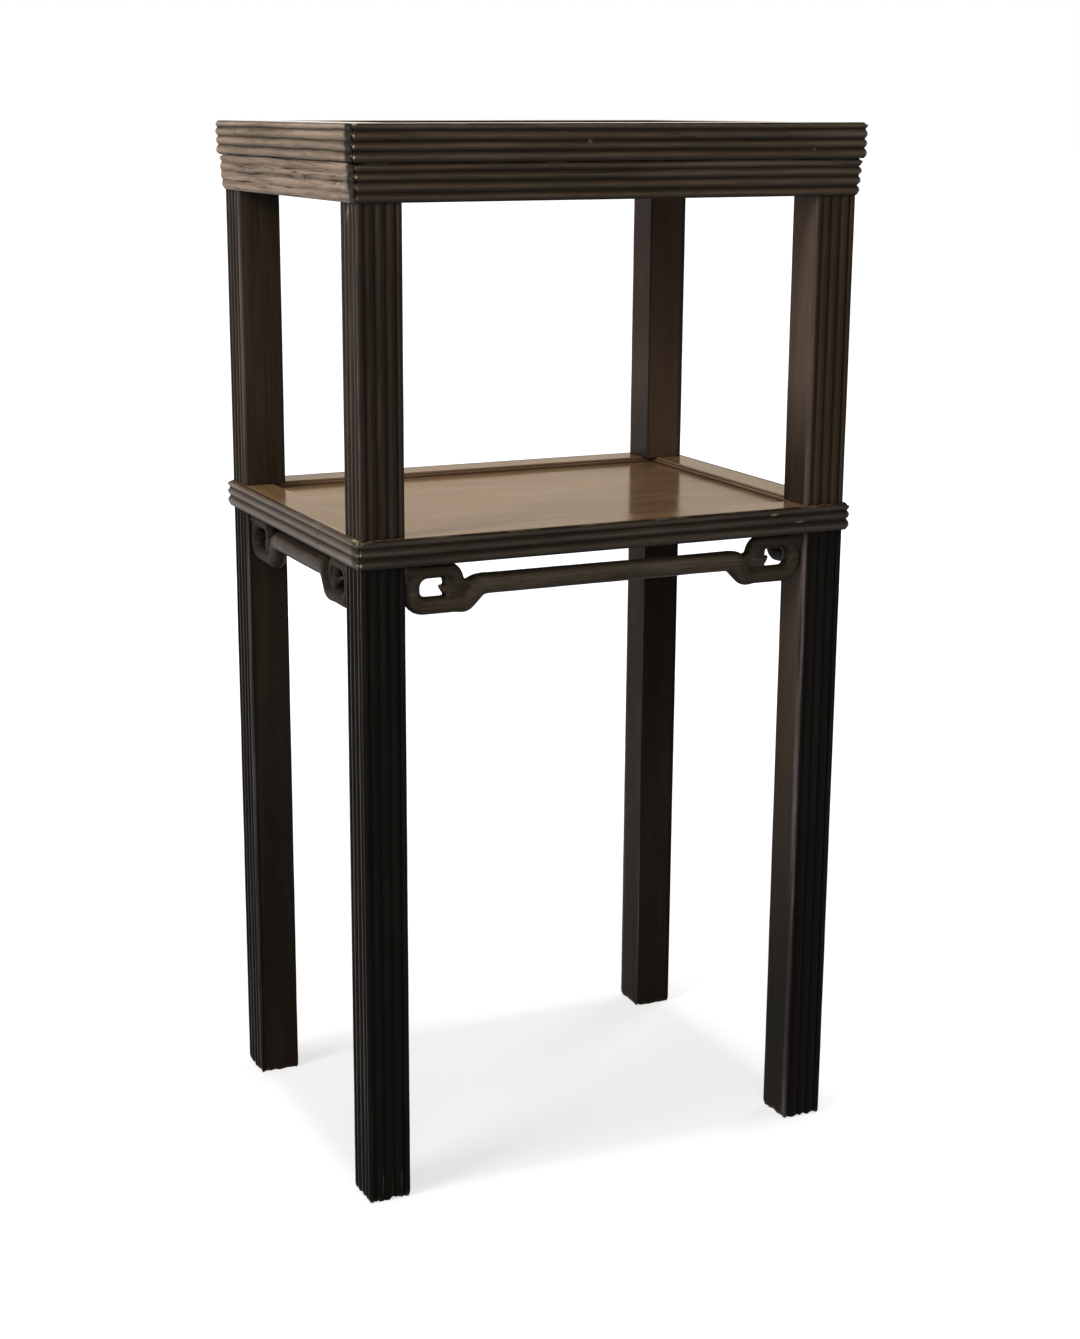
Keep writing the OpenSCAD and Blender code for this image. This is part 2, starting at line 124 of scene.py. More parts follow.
# Marks seen in the photograph: place, half sizes and strength
PALE_SPOTS = [
    ((-203.5, -118, 759.2), (3, 3, 1), 1.3),
    ((-203.5, -127.5, 757), (3, 2.2, 1.8), 1.3),
    ((-203, -138, 752), (3, 2, 2.5), 1.3),
    ((-200, -136.5, 743.5), (2, 1.3, 1.8), 1.3),
    ((-200, -130.5, 741.5), (2, 1, 2.5), 1),
    ((-200, -126, 738), (2, 0.8, 4), 0.8),
    ((-200, -143, 742), (2, 0.8, 3), 0.9),
    ((-200, -147, 722), (0.5, 0.5, 14), 0.25),
    ((-200, 112, 74.3), (2.5, 1.5, 4), 1.2),
    ((135.8, -152, 509.4), (2.5, 2, 0.7), 1),
    ((158.3, -152, 502.3), (3, 2, 0.6), 1),
    ((159.1, -153.5, 781), (0.8, 2, 0.6), 1),
    ((-25.6, -153.5, 787.6), (0.8, 2, 1), 1),
    ((-188.5, -148, 16), (0.4, 2, 8), 0.35),
    ((-173.7, -148, 15.4), (0.4, 2, 6), 0.3),
    ((-181.2, -148, 10.3), (0.3, 2, 5), 0.25),
    ((-202.8, -150, 513.5), (2.5, 2.5, 1.5), 1.3),
    ((-201.8, -141, 513.5), (1.4, 5, 1), 1),
    ((-165, -147, 490.2), (0.9, 2, 0.9), 1.3),
]
DARK_SPOTS = [
    ((-205.5, 102.8, 791.5), (2, 0.8, 2.4), 1.3),
    ((-203.5, -10.6, 767), (3, 10, 0.6), 1.3),
    ((-203.5, -30, 765), (3, 7, 0.5), 1.3),
    ((-203.5, -54, 762.7), (3, 9, 0.6), 1.3),
    ((-203.5, -50, 761), (3, 1, 3), 1),
    ((-203.5, 60, 762), (3, 16, 0.5), 1),
    ((-203.5, 95, 765.5), (3, 9, 0.6), 1),
]

# Sides and corners, counter-clockwise, and the cosine and sine of each one's turn
SIDES = ["front", "right", "back", "left"]
CORNERS = ["front_left", "front_right", "back_right", "back_left"]
QUARTER_TURNS = [(1, 0), (0, 1), (-1, 0), (0, -1)]

# Colours of the wood, from dark to light
BARE = (0.36, 0.29, 0.225)
# Near black of grime in pores, and of painted shade in grooves and along edges
GRIME_AND_SHADE = (0.0028, 0.0022, 0.0016)
BROWN = (0.086, 0.052, 0.032)
BLEACHED = [(0.085, 0.06, 0.043), (0.222, 0.166, 0.126), (0.37, 0.29, 0.228)]
VEILED = [(0.04, 0.032, 0.033), (0.085, 0.07, 0.073), (0.24, 0.205, 0.2)]
EDGE_TONES = [(0.027, 0.018, 0.011), (0.043, 0.03, 0.0195), (0.09, 0.066, 0.046)]
SHELF_TONES = [(0.016, 0.0115, 0.0075), (0.027, 0.0195, 0.0135), (0.062, 0.048, 0.036)]
POST_TONES = [(0.0115, 0.0074, 0.0045), (0.0185, 0.0125, 0.008), (0.032, 0.0235, 0.0165)]
# Colour that fills the posts' grooves: grime and painted shade
POST_HOLLOW = (0.0105, 0.0072, 0.0046)
LEG_TONES = [(0.0037, 0.0033, 0.0026), (0.0058, 0.0052, 0.0042), (0.0092, 0.0083, 0.0069)]
# Colour that fills the legs' grooves: grime and painted shade
LEG_HOLLOW = (0.0047, 0.0041, 0.0033)
ROD_TONES = [(0.022, 0.017, 0.011), (0.035, 0.027, 0.018), (0.075, 0.06, 0.043)]
SHADE_TONES = [(0.02, 0.0145, 0.0105), (0.036, 0.0265, 0.0195), (0.092, 0.071, 0.055)]
RAIL_TONES = [(0.155, 0.084, 0.04), (0.25, 0.145, 0.072), (0.33, 0.205, 0.11)]
DULL_TONES = [(0.07, 0.045, 0.028), (0.115, 0.077, 0.05), (0.165, 0.115, 0.078)]

# How far posts and legs are pale on the left: bleached reeds all over, a painted highlight on their
# crests, bleached plain faces
POST_BLEACH = [(0.12, 0.25, 0.07)] + [(0.03, 0.25, 0.07)] * 3
LEG_BLEACH = (0.0, 0.4, 0.015)

# How brown the reeds, the plain faces and those turned to the left are, for each corner. The values
# differ from corner to corner as painted light and shade.
POST_WARMTH = [(0, 1, 1), (0.5, 1.05, 1.15), (0, 2.3, 2.6), (0, 0.15, 0.9)]
LEG_WARMTH = [(0, 0.75, left) for left in (2.4, 2.4, 4.0, 2.4)]

# Below these heights over the foot, plain faces turned to the left darken: painted shade
POST_DIM = 95
LEG_DIM = 420

# How much darker the scrolls are, on front and back, and on the other two sides
SCROLL_SHADE = (0.3, 0.6)

# Bump of the carved and of the polished wood, in metres
CARVED_BUMP = 0.0004
POLISHED_BUMP = 0.0003

# Floor: half size, surface, and the distances between which its glow rises from low to high
FLOOR_REACH = 30.0
FLOOR_GREY = 0.3
GLOW_FROM_TO = (0.35, 1.6)
GLOW_LOW_HIGH = (0.66, 0.93)

# World: ambient light, and what is seen from just above the horizon upwards
AMBIENT = 0.08
WHITE = (1, 1, 1)
SKY_TAN = (0.66, 0.54, 0.41)
HORIZON = (0.06, 0.13)

# Lamps: name, kind, place, aim, power, size and colour
LAMPS = [
    ("overhead", "SUN", (0, 0, 3), (0, 0, 0), 2.4, 0.09, WHITE),
    ("front_fill", "AREA", (-1.0, -2.6, 1.8), (0, 0, 0.55), 41, 1.6, WHITE),
    ("key_left", "AREA", (-2.3, -0.7, 1.9), (0, 0, 0.55), 63, 0.9, (1, 0.97, 0.93)),
    ("back_fill", "AREA", (3.4, 2.0, 0.9), (0, 0, 0.5), 110, 1.4, WHITE),
]

# Sizes of a frame or of the apron: half sizes, foot, width of the members, and top
Ring = namedtuple("Ring", "half foot width top")

# Looks of a post or leg. foot is the height of its worn end, dim that of the zone of painted shade.
Look = namedtuple("Look", "material foot bleach warmth dim")


def span(node):
    """Lowest and highest corner of a CAD node, in millimetres."""
    low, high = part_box(node)
    return np.array(low) / MM, np.array(high) / MM


def clamped(values):
    """The values held between 0 and 1."""
    return np.clip(values, 0, 1)


def hump(distance, width):
    """1 at no distance, falling smoothly towards 0 beyond the width."""
    return np.exp(-((distance / width) ** 2))


# Random but repeatable unevenness


def wobble(s, seed, longest):
    """Smooth random curve over s, about -1 to 1, from sines of falling wavelength."""
    rng = np.random.default_rng(seed)
    total = np.zeros_like(s, dtype=float)
    for octave in range(3):
        for _ in range(3):
            wave = longest / 2**octave * rng.uniform(0.7, 1.4)
            size = 0.6**octave * rng.uniform(0.5, 1.0)
            total += size * np.sin(2 * pi * s / wave + rng.uniform(0, 2 * pi))
    return total / 2.6


def ripple(s, u, seed, size_s, size_u, count=20):
    """Smooth random field over s and u, about -1 to 1, from crossing waves."""
    rng = np.random.default_rng(seed)
    total = np.zeros(np.broadcast(s, u).shape)
    for _ in range(count):
        ks = rng.normal(0, 2 * pi / size_s / 1.6)
        ku = rng.normal(0, 2 * pi / size_u / 1.6)
        total += np.sin(ks * s + ku * u + rng.uniform(0, 2 * pi))
    return total / sqrt(count * 1.2)


def marks(seed, count, along, across, long, wide, deep):
    """Random marks: (place along, place across, half length, half width, depth, slope)."""
    rng = np.random.default_rng(seed)
    ranges = (along, across, long, wide, deep, (-0.03, 0.03))
    return [tuple(rng.uniform(*r) for r in ranges) for _ in range(count)]


def dents(s, u, listed):
    """Depth of soft-edged marks over s and u."""
    total = np.zeros(np.broadcast(s, u).shape)
    for at_s, at_u, long, wide, deep, slope in listed:
        off = (u - at_u - slope * (s - at_s)) / wide
        total += deep * np.exp(-(((s - at_s) / long) ** 2) - off**2)
    return total


def spotted(world, spots):
    """How far each point, in millimetres, lies in any of the listed spots."""
    total = np.zeros(len(world))
    for centre, sizes, strength in spots:
        total += strength * np.exp(-(((world - centre) / sizes) ** 2).sum(axis=1))
    return clamped(total)


# Places


def stations(low, high, step, ends):
    """Places along a piece, closer together near both ends."""
    first = low + np.array(ends)
    last = high - np.array(ends)[::-1]
    count = max(2, int(round((last[0] - first[-1]) / step)))
    middle = np.linspace(first[-1], last[0], count + 1)[1:-1]
    return np.concatenate([first, middle, last])


def unit(vectors):
    """The vectors at length 1."""
    return vectors / np.maximum(np.linalg.norm(vectors, axis=1, keepdims=True), 1e-9)


def outward(outline):
    """Unit normals to the right of a closed outline's direction, and the way along it."""
    ahead = np.roll(outline, -1, axis=0) - outline
    behind = outline - np.roll(outline, 1, axis=0)
    tangent = unit(unit(ahead) + unit(behind))
    normal = np.stack([tangent[:, 1], -tangent[:, 0]], axis=1)
    way = np.concatenate([[0.0], np.cumsum(np.linalg.norm(ahead, axis=1))[:-1]])
    return normal, way


def rotated(quarter, x, y):
    """x and y after a number of quarter turns, counter-clockwise."""
    c, s = QUARTER_TURNS[quarter]
    return c * x - s * y, s * x + c * y


def side_place(side, half):
    """Placing of local (along, inward, up) on side 0 to 3, counter-clockwise from the front."""
    off = half[1 - side % 2]

    def place(p):
        x, y = rotated(side, p[:, 0], p[:, 1] - off)
        return np.stack([x, y, p[:, 2]], axis=1)

    return place


def corner_place(corner, half, low):
    """Placing of local (up, x, y) on corner 0 to 3, counter-clockwise from the front left."""
    corner_x = -half[0] if corner in (0, 3) else half[0]
    corner_y = -half[1] if corner < 2 else half[1]

    def place(p):
        x, y = rotated(corner, p[:, 1], p[:, 2])
        return np.stack([corner_x + x, corner_y + y, low + p[:, 0]], axis=1)

    return place


# Meshes


def linked(name, data):
    """New object in the scene."""
    made = bpy.data.objects.new(name, data)
    scene.collection.objects.link(made)
    return made


def ring_faces(count, around):
    """Faces of rings of points, numbered one after another, with a flat face at each end."""
    index = np.arange(count * around).reshape(count, around)
    there = np.roll(index, -1, axis=1)
    quads = np.stack([index[:-1], there[:-1], there[1:], index[1:]], axis=-1).reshape(-1, 4)
    return quads.tolist() + [index[0][::-1].tolist(), index[-1].tolist()]


def turn_out(mesh):
    """Faces all outwards."""
    work = bmesh.new()
    work.from_mesh(mesh)
    bmesh.ops.recalc_face_normals(work, faces=work.faces)
    work.to_mesh(mesh)
    work.free()


def vertex_normals(mesh):
    values = np.zeros(len(mesh.vertices) * 3, dtype=np.float32)
    mesh.vertex_normals.foreach_get("vector", values)
    return values.reshape(-1, 3)


def add_marks(mesh, grain, crest, wear, faded, plain):
    """Attributes that the wood reads. faded, how far it has bleached, holds only for what is
    turned to the left. plain is how brown it is."""
    layer = mesh.attributes.new("grain", "FLOAT_VECTOR", "POINT")
    layer.data.foreach_set("vector", np.ascontiguousarray(grain, dtype=np.float32).ravel())
    left = clamped((-vertex_normals(mesh)[:, 0] - 0.15) / 0.5) * faded
    for name, values in (("crest", crest), ("wear", wear), ("faded", left), ("plain", plain)):
        layer = mesh.attributes.new(name, "FLOAT", "POINT")
        flat = np.broadcast_to(values, (len(mesh.vertices),))
        layer.data.foreach_set("value", np.ascontiguousarray(flat, dtype=np.float32))


def own_shift(name):
    """A shift of the grain that is the piece's own, so that no two pieces match."""
    return np.random.default_rng(sum(map(ord, name)) * 97 + len(name)).uniform(-3, 3, 3)


def show(name, mesh, materials, sharp):
    """Object for a mesh, smooth shaded but for its sharp edges."""
    mesh.shade_smooth()
    mesh.set_sharp_from_angle(angle=radians(sharp))
    for material in materials:
        mesh.materials.append(material)
    return linked(name, mesh)


def skin(name, grid, place, materials, crest, wear=0.0, faded=0.0, plain=0.0, which=None):
    """Mesh over a grid (stations, points round the outline, local xyz in mm) with flat ends.
    which gives the material of each strip along the piece."""
    count, around = grid.shape[:2]

    def full(values):
        return np.broadcast_to(values, (count, around)).ravel()

    local = grid.reshape(-1, 3)
    world = place(local)
    mesh = bpy.data.meshes.new(name)
    mesh.from_pydata((world * MM).tolist(), [], ring_faces(count, around))
    if which is not None:
        strip = np.concatenate([np.tile(which, count - 1), [0, 0]]).astype(np.int32)
        mesh.polygons.foreach_set("material_index", strip)
    turn_out(mesh)
    crest = full(crest) * (1 - spotted(world, DARK_SPOTS))
    wear = np.maximum(full(wear), spotted(world, PALE_SPOTS))
    add_marks(mesh, local * MM + own_shift(name), crest, wear, full(faded), full(plain))
    return show(name, mesh, materials, SHARP_EDGE)


def stands_for(piece, node):
    """The piece rides on the frame and is shown in place of its CAD node."""
    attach(piece, "root")
    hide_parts(node)


# Shader nodes


def rgba(colour):
    """A colour output as it is, or three numbers with full opacity."""
    return colour if isinstance(colour, bpy.types.NodeSocket) else (*colour, 1.0)


class Nodes:
    """Short way to write the nodes of a material or of the world."""

    def __init__(self, owner):
        owner.use_nodes = True
        self.owner = owner
        self.tree = owner.node_tree
        self.tree.nodes.clear()

    def node(self, kind, inputs=None, **settings):
        """New node. inputs, by name or number, take another node's output or a value."""
        made = self.tree.nodes.new(kind)
        for key, value in settings.items():
            setattr(made, key, value)
        for key, value in (inputs or {}).items():
            if isinstance(value, bpy.types.NodeSocket):
                self.tree.links.new(value, made.inputs[key])
            else:
                made.inputs[key].default_value = value
        return made

    def math(self, operation, a, b=0.0, clamp=False):
        return self.node("ShaderNodeMath", {0: a, 1: b}, operation=operation, use_clamp=clamp).outputs[0]

    def times(self, a, b, clamp=False):
        return self.math("MULTIPLY", a, b, clamp)

    def attribute(self, name, output="Fac"):
        return self.node("ShaderNodeAttribute", attribute_name=name).outputs[output]

    def noise(self, vector, stretch, detail=4.0, rough=0.55, twist=0.0):
        """Noise whose grain is stretch cycles per metre along each axis."""
        scaled = self.node("ShaderNodeMapping", {"Vector": vector, "Scale": stretch}).outputs[0]
        sizes = {"Scale": 1.0, "Detail": detail, "Roughness": rough, "Distortion": twist}
        return self.node("ShaderNodeTexNoise", {"Vector": scaled, **sizes}).outputs[0]

    def remap(self, value, low, high, to_low=0.0, to_high=1.0):
        ends = {"From Min": low, "From Max": high, "To Min": to_low, "To Max": to_high}
        return self.node("ShaderNodeMapRange", {"Value": value, **ends}).outputs[0]

    def ramp(self, value, tones, low=0.36, high=0.64):
        """Colour from the first to the last tone as value goes from low to high."""
        made = self.node("ShaderNodeValToRGB", {0: value})
        band = made.color_ramp
        while len(band.elements) < len(tones):
            band.elements.new(0.5)
        for i, (element, colour) in enumerate(zip(band.elements, tones)):
            element.position = low + (high - low) * i / (len(tones) - 1)
            element.color = rgba(colour)
        return made.outputs[0]

    def mix(self, share, a, b):
        """From colour a to colour b. Sockets 6 and 7 and output 2 are the ones for colours."""
        inputs = {0: share, 6: rgba(a), 7: rgba(b)}
        return self.node("ShaderNodeMix", inputs, data_type="RGBA", blend_type="MIX").outputs[2]

    def wood(self, colour, rough, specular, height, grit, distance):
        """Gives the material its shader, with bumps of a distance in metres."""
        bumps = self.node("ShaderNodeBump", {"Height": height, "Strength": grit, "Distance": distance})
        looks = {"Base Color": colour, "Roughness": rough, "Specular IOR Level": specular}
        looks["Normal"] = bumps.outputs[0]
        shader = self.node("ShaderNodeBsdfPrincipled", looks)
        self.node("ShaderNodeOutputMaterial", {0: shader.outputs[0]})
        return self.owner


def stained_colour(n, tone, broad, rub_and_highlight, faded, tones, rub_and_sheen, brown):
    """Dark wood, lighter where rubbing and a painted highlight lighten the crests. Plain faces are
    browner by the share brown, more so where they have faded."""
    dark = n.mix(n.times(rub_and_highlight, rub_and_sheen, True), n.ramp(tone, tones), tones[-1])
    browned = n.times(n.attribute("plain"), n.remap(broad, 0.3, 0.7, brown * 0.7, brown * 1.3))
    browned = n.times(browned, n.remap(faded, 0, 0.1, 1, 3.2), True)
    return n.mix(browned, dark, BROWN)


def faded_colour(n, tone, streak, rub_and_highlight, pales):
    """Pale wood with darker streaks, lighter where rubbing and a painted highlight lighten the crests.
    """
    lines = n.times(n.remap(streak, 0.56, 0.68), 0.55, True)
    pale = n.mix(lines, n.ramp(tone, pales), pales[0])
    return n.mix(n.times(rub_and_highlight, 0.45, True), pale, pales[2])


def carved_wood(
    name, tones, gloss, specular, grit=0.3, rub_and_sheen=0.5, dirt_and_shade=0.8, hollow=GRIME_AND_SHADE, brown=0.0, pales=BLEACHED
):
    """Stained hardwood that reads the attributes grain, crest, wear, faded and plain.
    Grooves fill with the hollow colour, grime and painted shade, more widely at a low reach setting.
    Crests are lighter by the given share, from rubbing and a painted highlight. Worn spots show bare
    wood, and the wear attribute also carries painted glints and highlights. Faded wood is matt and in
    the tones pales."""
    n = Nodes(bpy.data.materials.new(name))
    grain = n.attribute("grain", "Vector")
    crest = n.attribute("crest")
    faded = n.attribute("faded")
    fibres = n.noise(grain, (9, 300, 300), detail=6, rough=0.62)
    broad = n.noise(grain, (4, 34, 34), detail=3, twist=0.4)
    pores = n.noise(grain, (40, 1200, 1200), detail=2, rough=0.5)
    patch = n.noise(grain, (30, 110, 110), detail=4, rough=0.6)
    streak = n.noise(grain, (14, 420, 420), detail=3, rough=0.7)
    tone = n.math("ADD", n.times(fibres, 0.55), n.times(broad, 0.45))
    # Lighter crests: rubbing and a painted highlight
    rub_and_highlight = n.times(n.math("POWER", crest, 4.0), n.remap(patch, 0.35, 0.65, 0.2, 1.0))
    dark = stained_colour(n, tone, broad, rub_and_highlight, faded, tones, rub_and_sheen, brown)
    colour = n.mix(faded, dark, faded_colour(n, tone, streak, rub_and_highlight, pales))
    # Grooves darken with grime and painted shade, more widely at a low reach
    reach = n.remap(faded, 0, 1, dirt_and_shade, 1.7)
    groove_grime_and_shade = n.math("POWER", n.math("SUBTRACT", 1.0, crest, True), reach)
    colour = n.mix(n.times(groove_grime_and_shade, 0.95, True), colour, hollow)
    pits = n.remap(pores, 0.36, 0.28)
    colour = n.mix(n.times(pits, 0.5, True), colour, GRIME_AND_SHADE)
    gone = n.times(n.attribute("wear"), n.remap(patch, 0.38, 0.52, 0.3, 1.2), True)
    colour = n.mix(gone, colour, BARE)
    dull = n.times(n.math("MAXIMUM", groove_grime_and_shade, faded), 0.3)
    rough = n.math("ADD", n.remap(fibres, 0.3, 0.7, *gloss), dull, True)
    height = n.math("ADD", n.times(fibres, 0.7), n.times(pits, -0.5))
    return n.wood(colour, rough, specular, height, grit, CARVED_BUMP)


def grain_across(n):
    """Grain that runs across the stand, with x and y swapped."""
    place = n.node("ShaderNodeTexCoord").outputs["Object"]
    split = n.node("ShaderNodeSeparateXYZ", {0: place})
    swapped = {i: split.outputs[axis] for i, axis in enumerate("YXZ")}
    return n.node("ShaderNodeCombineXYZ", swapped).outputs[0]


def polished_wood(name, tones, gloss, specular=0.5, marked=True, grit=0.12):
    """Polished brown hardwood with faint figure, dull patches and dark stains. marked pieces read
    the attributes grain and crest, and the grain of others runs across the stand."""
    n = Nodes(bpy.data.materials.new(name))
    grain = n.attribute("grain", "Vector") if marked else grain_across(n)
    figure = n.noise(grain, (2.2, 18, 18), detail=4, rough=0.5, twist=1.2)
    fibres = n.noise(grain, (7, 260, 260), detail=6, rough=0.6)
    pores = n.noise(grain, (40, 1000, 1000), detail=2)
    patch = n.noise(grain, (9, 14, 14), detail=5, rough=0.62)
    tone = n.math("ADD", n.times(figure, 0.55), n.times(fibres, 0.45))
    pits = n.remap(pores, 0.37, 0.28)
    stain = n.times(n.remap(patch, 0.60, 0.74), 0.6, True)
    colour = n.mix(n.times(pits, 0.5, True), n.ramp(tone, tones), tones[0])
    colour = n.mix(stain, colour, tones[0])
    rough = n.remap(patch, 0.35, 0.65, *gloss)
    if marked:
        # A low crest darkens and dulls the wood: grime and painted shade
        groove_grime_and_shade = n.times(n.math("SUBTRACT", 1.0, n.attribute("crest"), True), 0.9)
        colour = n.mix(groove_grime_and_shade, colour, GRIME_AND_SHADE)
        rough = n.math("ADD", rough, n.times(groove_grime_and_shade, 0.4))
    height = n.math("ADD", n.times(fibres, 0.3), n.times(pits, -0.4))
    return n.wood(colour, rough, specular, height, grit, POLISHED_BUMP)


edge_wood = carved_wood("edge_wood", EDGE_TONES, (0.26, 0.40), 0.09)
shelf_edge_wood = carved_wood("shelf_edge_wood", SHELF_TONES, (0.26, 0.38), 0.10)
post_wood = carved_wood(
    "post_wood", POST_TONES, (0.26, 0.38), 0.04, 0.25,
    rub_and_sheen=0.2, dirt_and_shade=1.8, hollow=POST_HOLLOW, brown=0.27, pales=VEILED,
)
leg_wood = carved_wood(
    "leg_wood", LEG_TONES, (0.22, 0.34), 0.018, 0.25,
    rub_and_sheen=0.1, dirt_and_shade=1.4, hollow=LEG_HOLLOW, brown=0.155, pales=VEILED,
)
rod_wood = carved_wood(
    "rod_wood", ROD_TONES, (0.20, 0.30), 0.035, 0.12, rub_and_sheen=0.6, dirt_and_shade=1.0, brown=0.3,
)
shaded_rod_wood = carved_wood(
    "shaded_rod_wood", SHADE_TONES, (0.24, 0.36), 0.025, 0.12, rub_and_sheen=0.6, dirt_and_shade=1.0, brown=0.2,
)
rail_top_wood = polished_wood("rail_top_wood", RAIL_TONES, (0.12, 0.22))
panel_wood = polished_wood("panel_wood", RAIL_TONES, (0.10, 0.2))
top_wood = polished_wood("top_wood", RAIL_TONES, (0.03, 0.06), grit=0.02)
under_wood = polished_wood("under_wood", DULL_TONES, (0.6, 0.75), 0.1)
batten_wood = polished_wood("batten_wood", DULL_TONES, (0.5, 0.7), 0.3, marked=False)


# Frame members and aprons


def reed_column(grooves, groove):
    """Outer edge from foot to top: depth, height, crest and reed place of each point."""
    rows = []
    last = len(grooves) - 2
    for i, (low, high) in enumerate(zip(grooves, grooves[1:])):
        width = high - low
        deep = min(groove, width * 0.24)
        radius = (width * width / 4 + deep * deep) / (2 * deep)
        half = asin(width / 2 / radius)
        angles = np.linspace(-half, half, REED_POINTS + 1)
        for a in angles if i == last else angles[:-1]:
            arc = radius * (1 - cos(a)) / deep
            share = (radius * sin(a) + width / 2) / width
            wave = 0.5 + 0.5 * cos(2 * pi * share)
            rise = 0.5 * arc + 0.5 * wave
            rows.append((rise * deep + (groove - deep) * 0.3, low + share * width, 1 - rise, i + share))
    return rows


def frame_outline(width, height, grooves, step):
    """Outline of a frame member: inward, up, crest, reed place, on the reeds, strip's material.
    step is the material of the step round the panel."""
    rows = [(d, z, c, r, 1, 0) for d, z, c, r in reed_column(grooves, EDGE_GROOVE)]
    top = len(grooves) - 1
    inner = width + STEP_W
    level = height - STEP_DROP
    # The top reed's last point and the outer millimetres of the top face get a low crest: painted shade
    # along the top edge
    rows[-1] = (*rows[-1][:2], 0.6, top, 1, 0)
    face = [(d, height, 1, 1) for d in np.linspace(EDGE_GROOVE + 3.2, width - 1.4, 9)]
    rest = [
        (EDGE_GROOVE + 1, height, 0.5, 0),
        (EDGE_GROOVE + 2, height, 0.6, 1),
        *face,
        (width - 0.7, height, 1, 1),
        (width - 0.25, height - 0.15, 1, 1),
        # Low crests at the step's edges: dark lines of grime and painted shade where it drops towards
        # the panel
        (width - 0.02, height - 0.55, 0.6, step),
        (width, level + 0.5, 0.1, step),
        (width + 0.1, level - 0.05, 0, step),
        (width + 0.45, level + 0.12, 0.5, step),
        (width + 1, level + 0.22, 1, step),
        (width + 1.55, level + 0.05, 0.8, step),
        (inner - 0.1, level - 0.45, 0.3, step),
        (inner, level - 1.1, 0.1, step),
        (inner, height - RECESS - 2, 0, 0),
        (inner, height * 0.35, 0.5, 0),
        (inner, 0.5, 0.9, 0),
        (inner - 0.5, 0, 0.9, 0),
    ]
    rows += [(d, z, crest, top, 0, strip) for d, z, crest, strip in rest]
    for d in np.linspace(inner - 4, EDGE_GROOVE + 1.2, 6):
        rows.append((d, 0, 0.9, 0, 0, 0))
    return np.array(rows)


def apron_outline(width, height, grooves):
    """Outline of an apron board, whose reeds step back towards the foot."""
    rows = []
    top = len(grooves) - 1
    for d, z, c, r in reed_column(grooves, EDGE_GROOVE * 0.85):
        rows.append((d + APRON_TAPER * (1 - z / height), z, c, r, 1, 0))
    for d in np.linspace(EDGE_GROOVE + 1.5, width - 0.6, 4):
        rows.append((d, height, 0.6, top, 0, 0))
    for z, crest in ((height - 0.5, 0.6), (height / 2, 0.8), (0.6, 0.9)):
        rows.append((width, z, crest, top, 0, 0))
    for d in np.linspace(width - 0.6, EDGE_GROOVE + APRON_TAPER + 1.2, 4):
        rows.append((d, 0, 0.9, 0, 0, 0))
    return np.array(rows)


def corner_fillet(end, radius):
    """How far a round corner pulls the face in, at a distance from the mitre's outer end."""
    reach = np.clip(end, 0, radius)
    return radius - (reach + np.sqrt(2 * radius * radius - reach * reach)) / 2


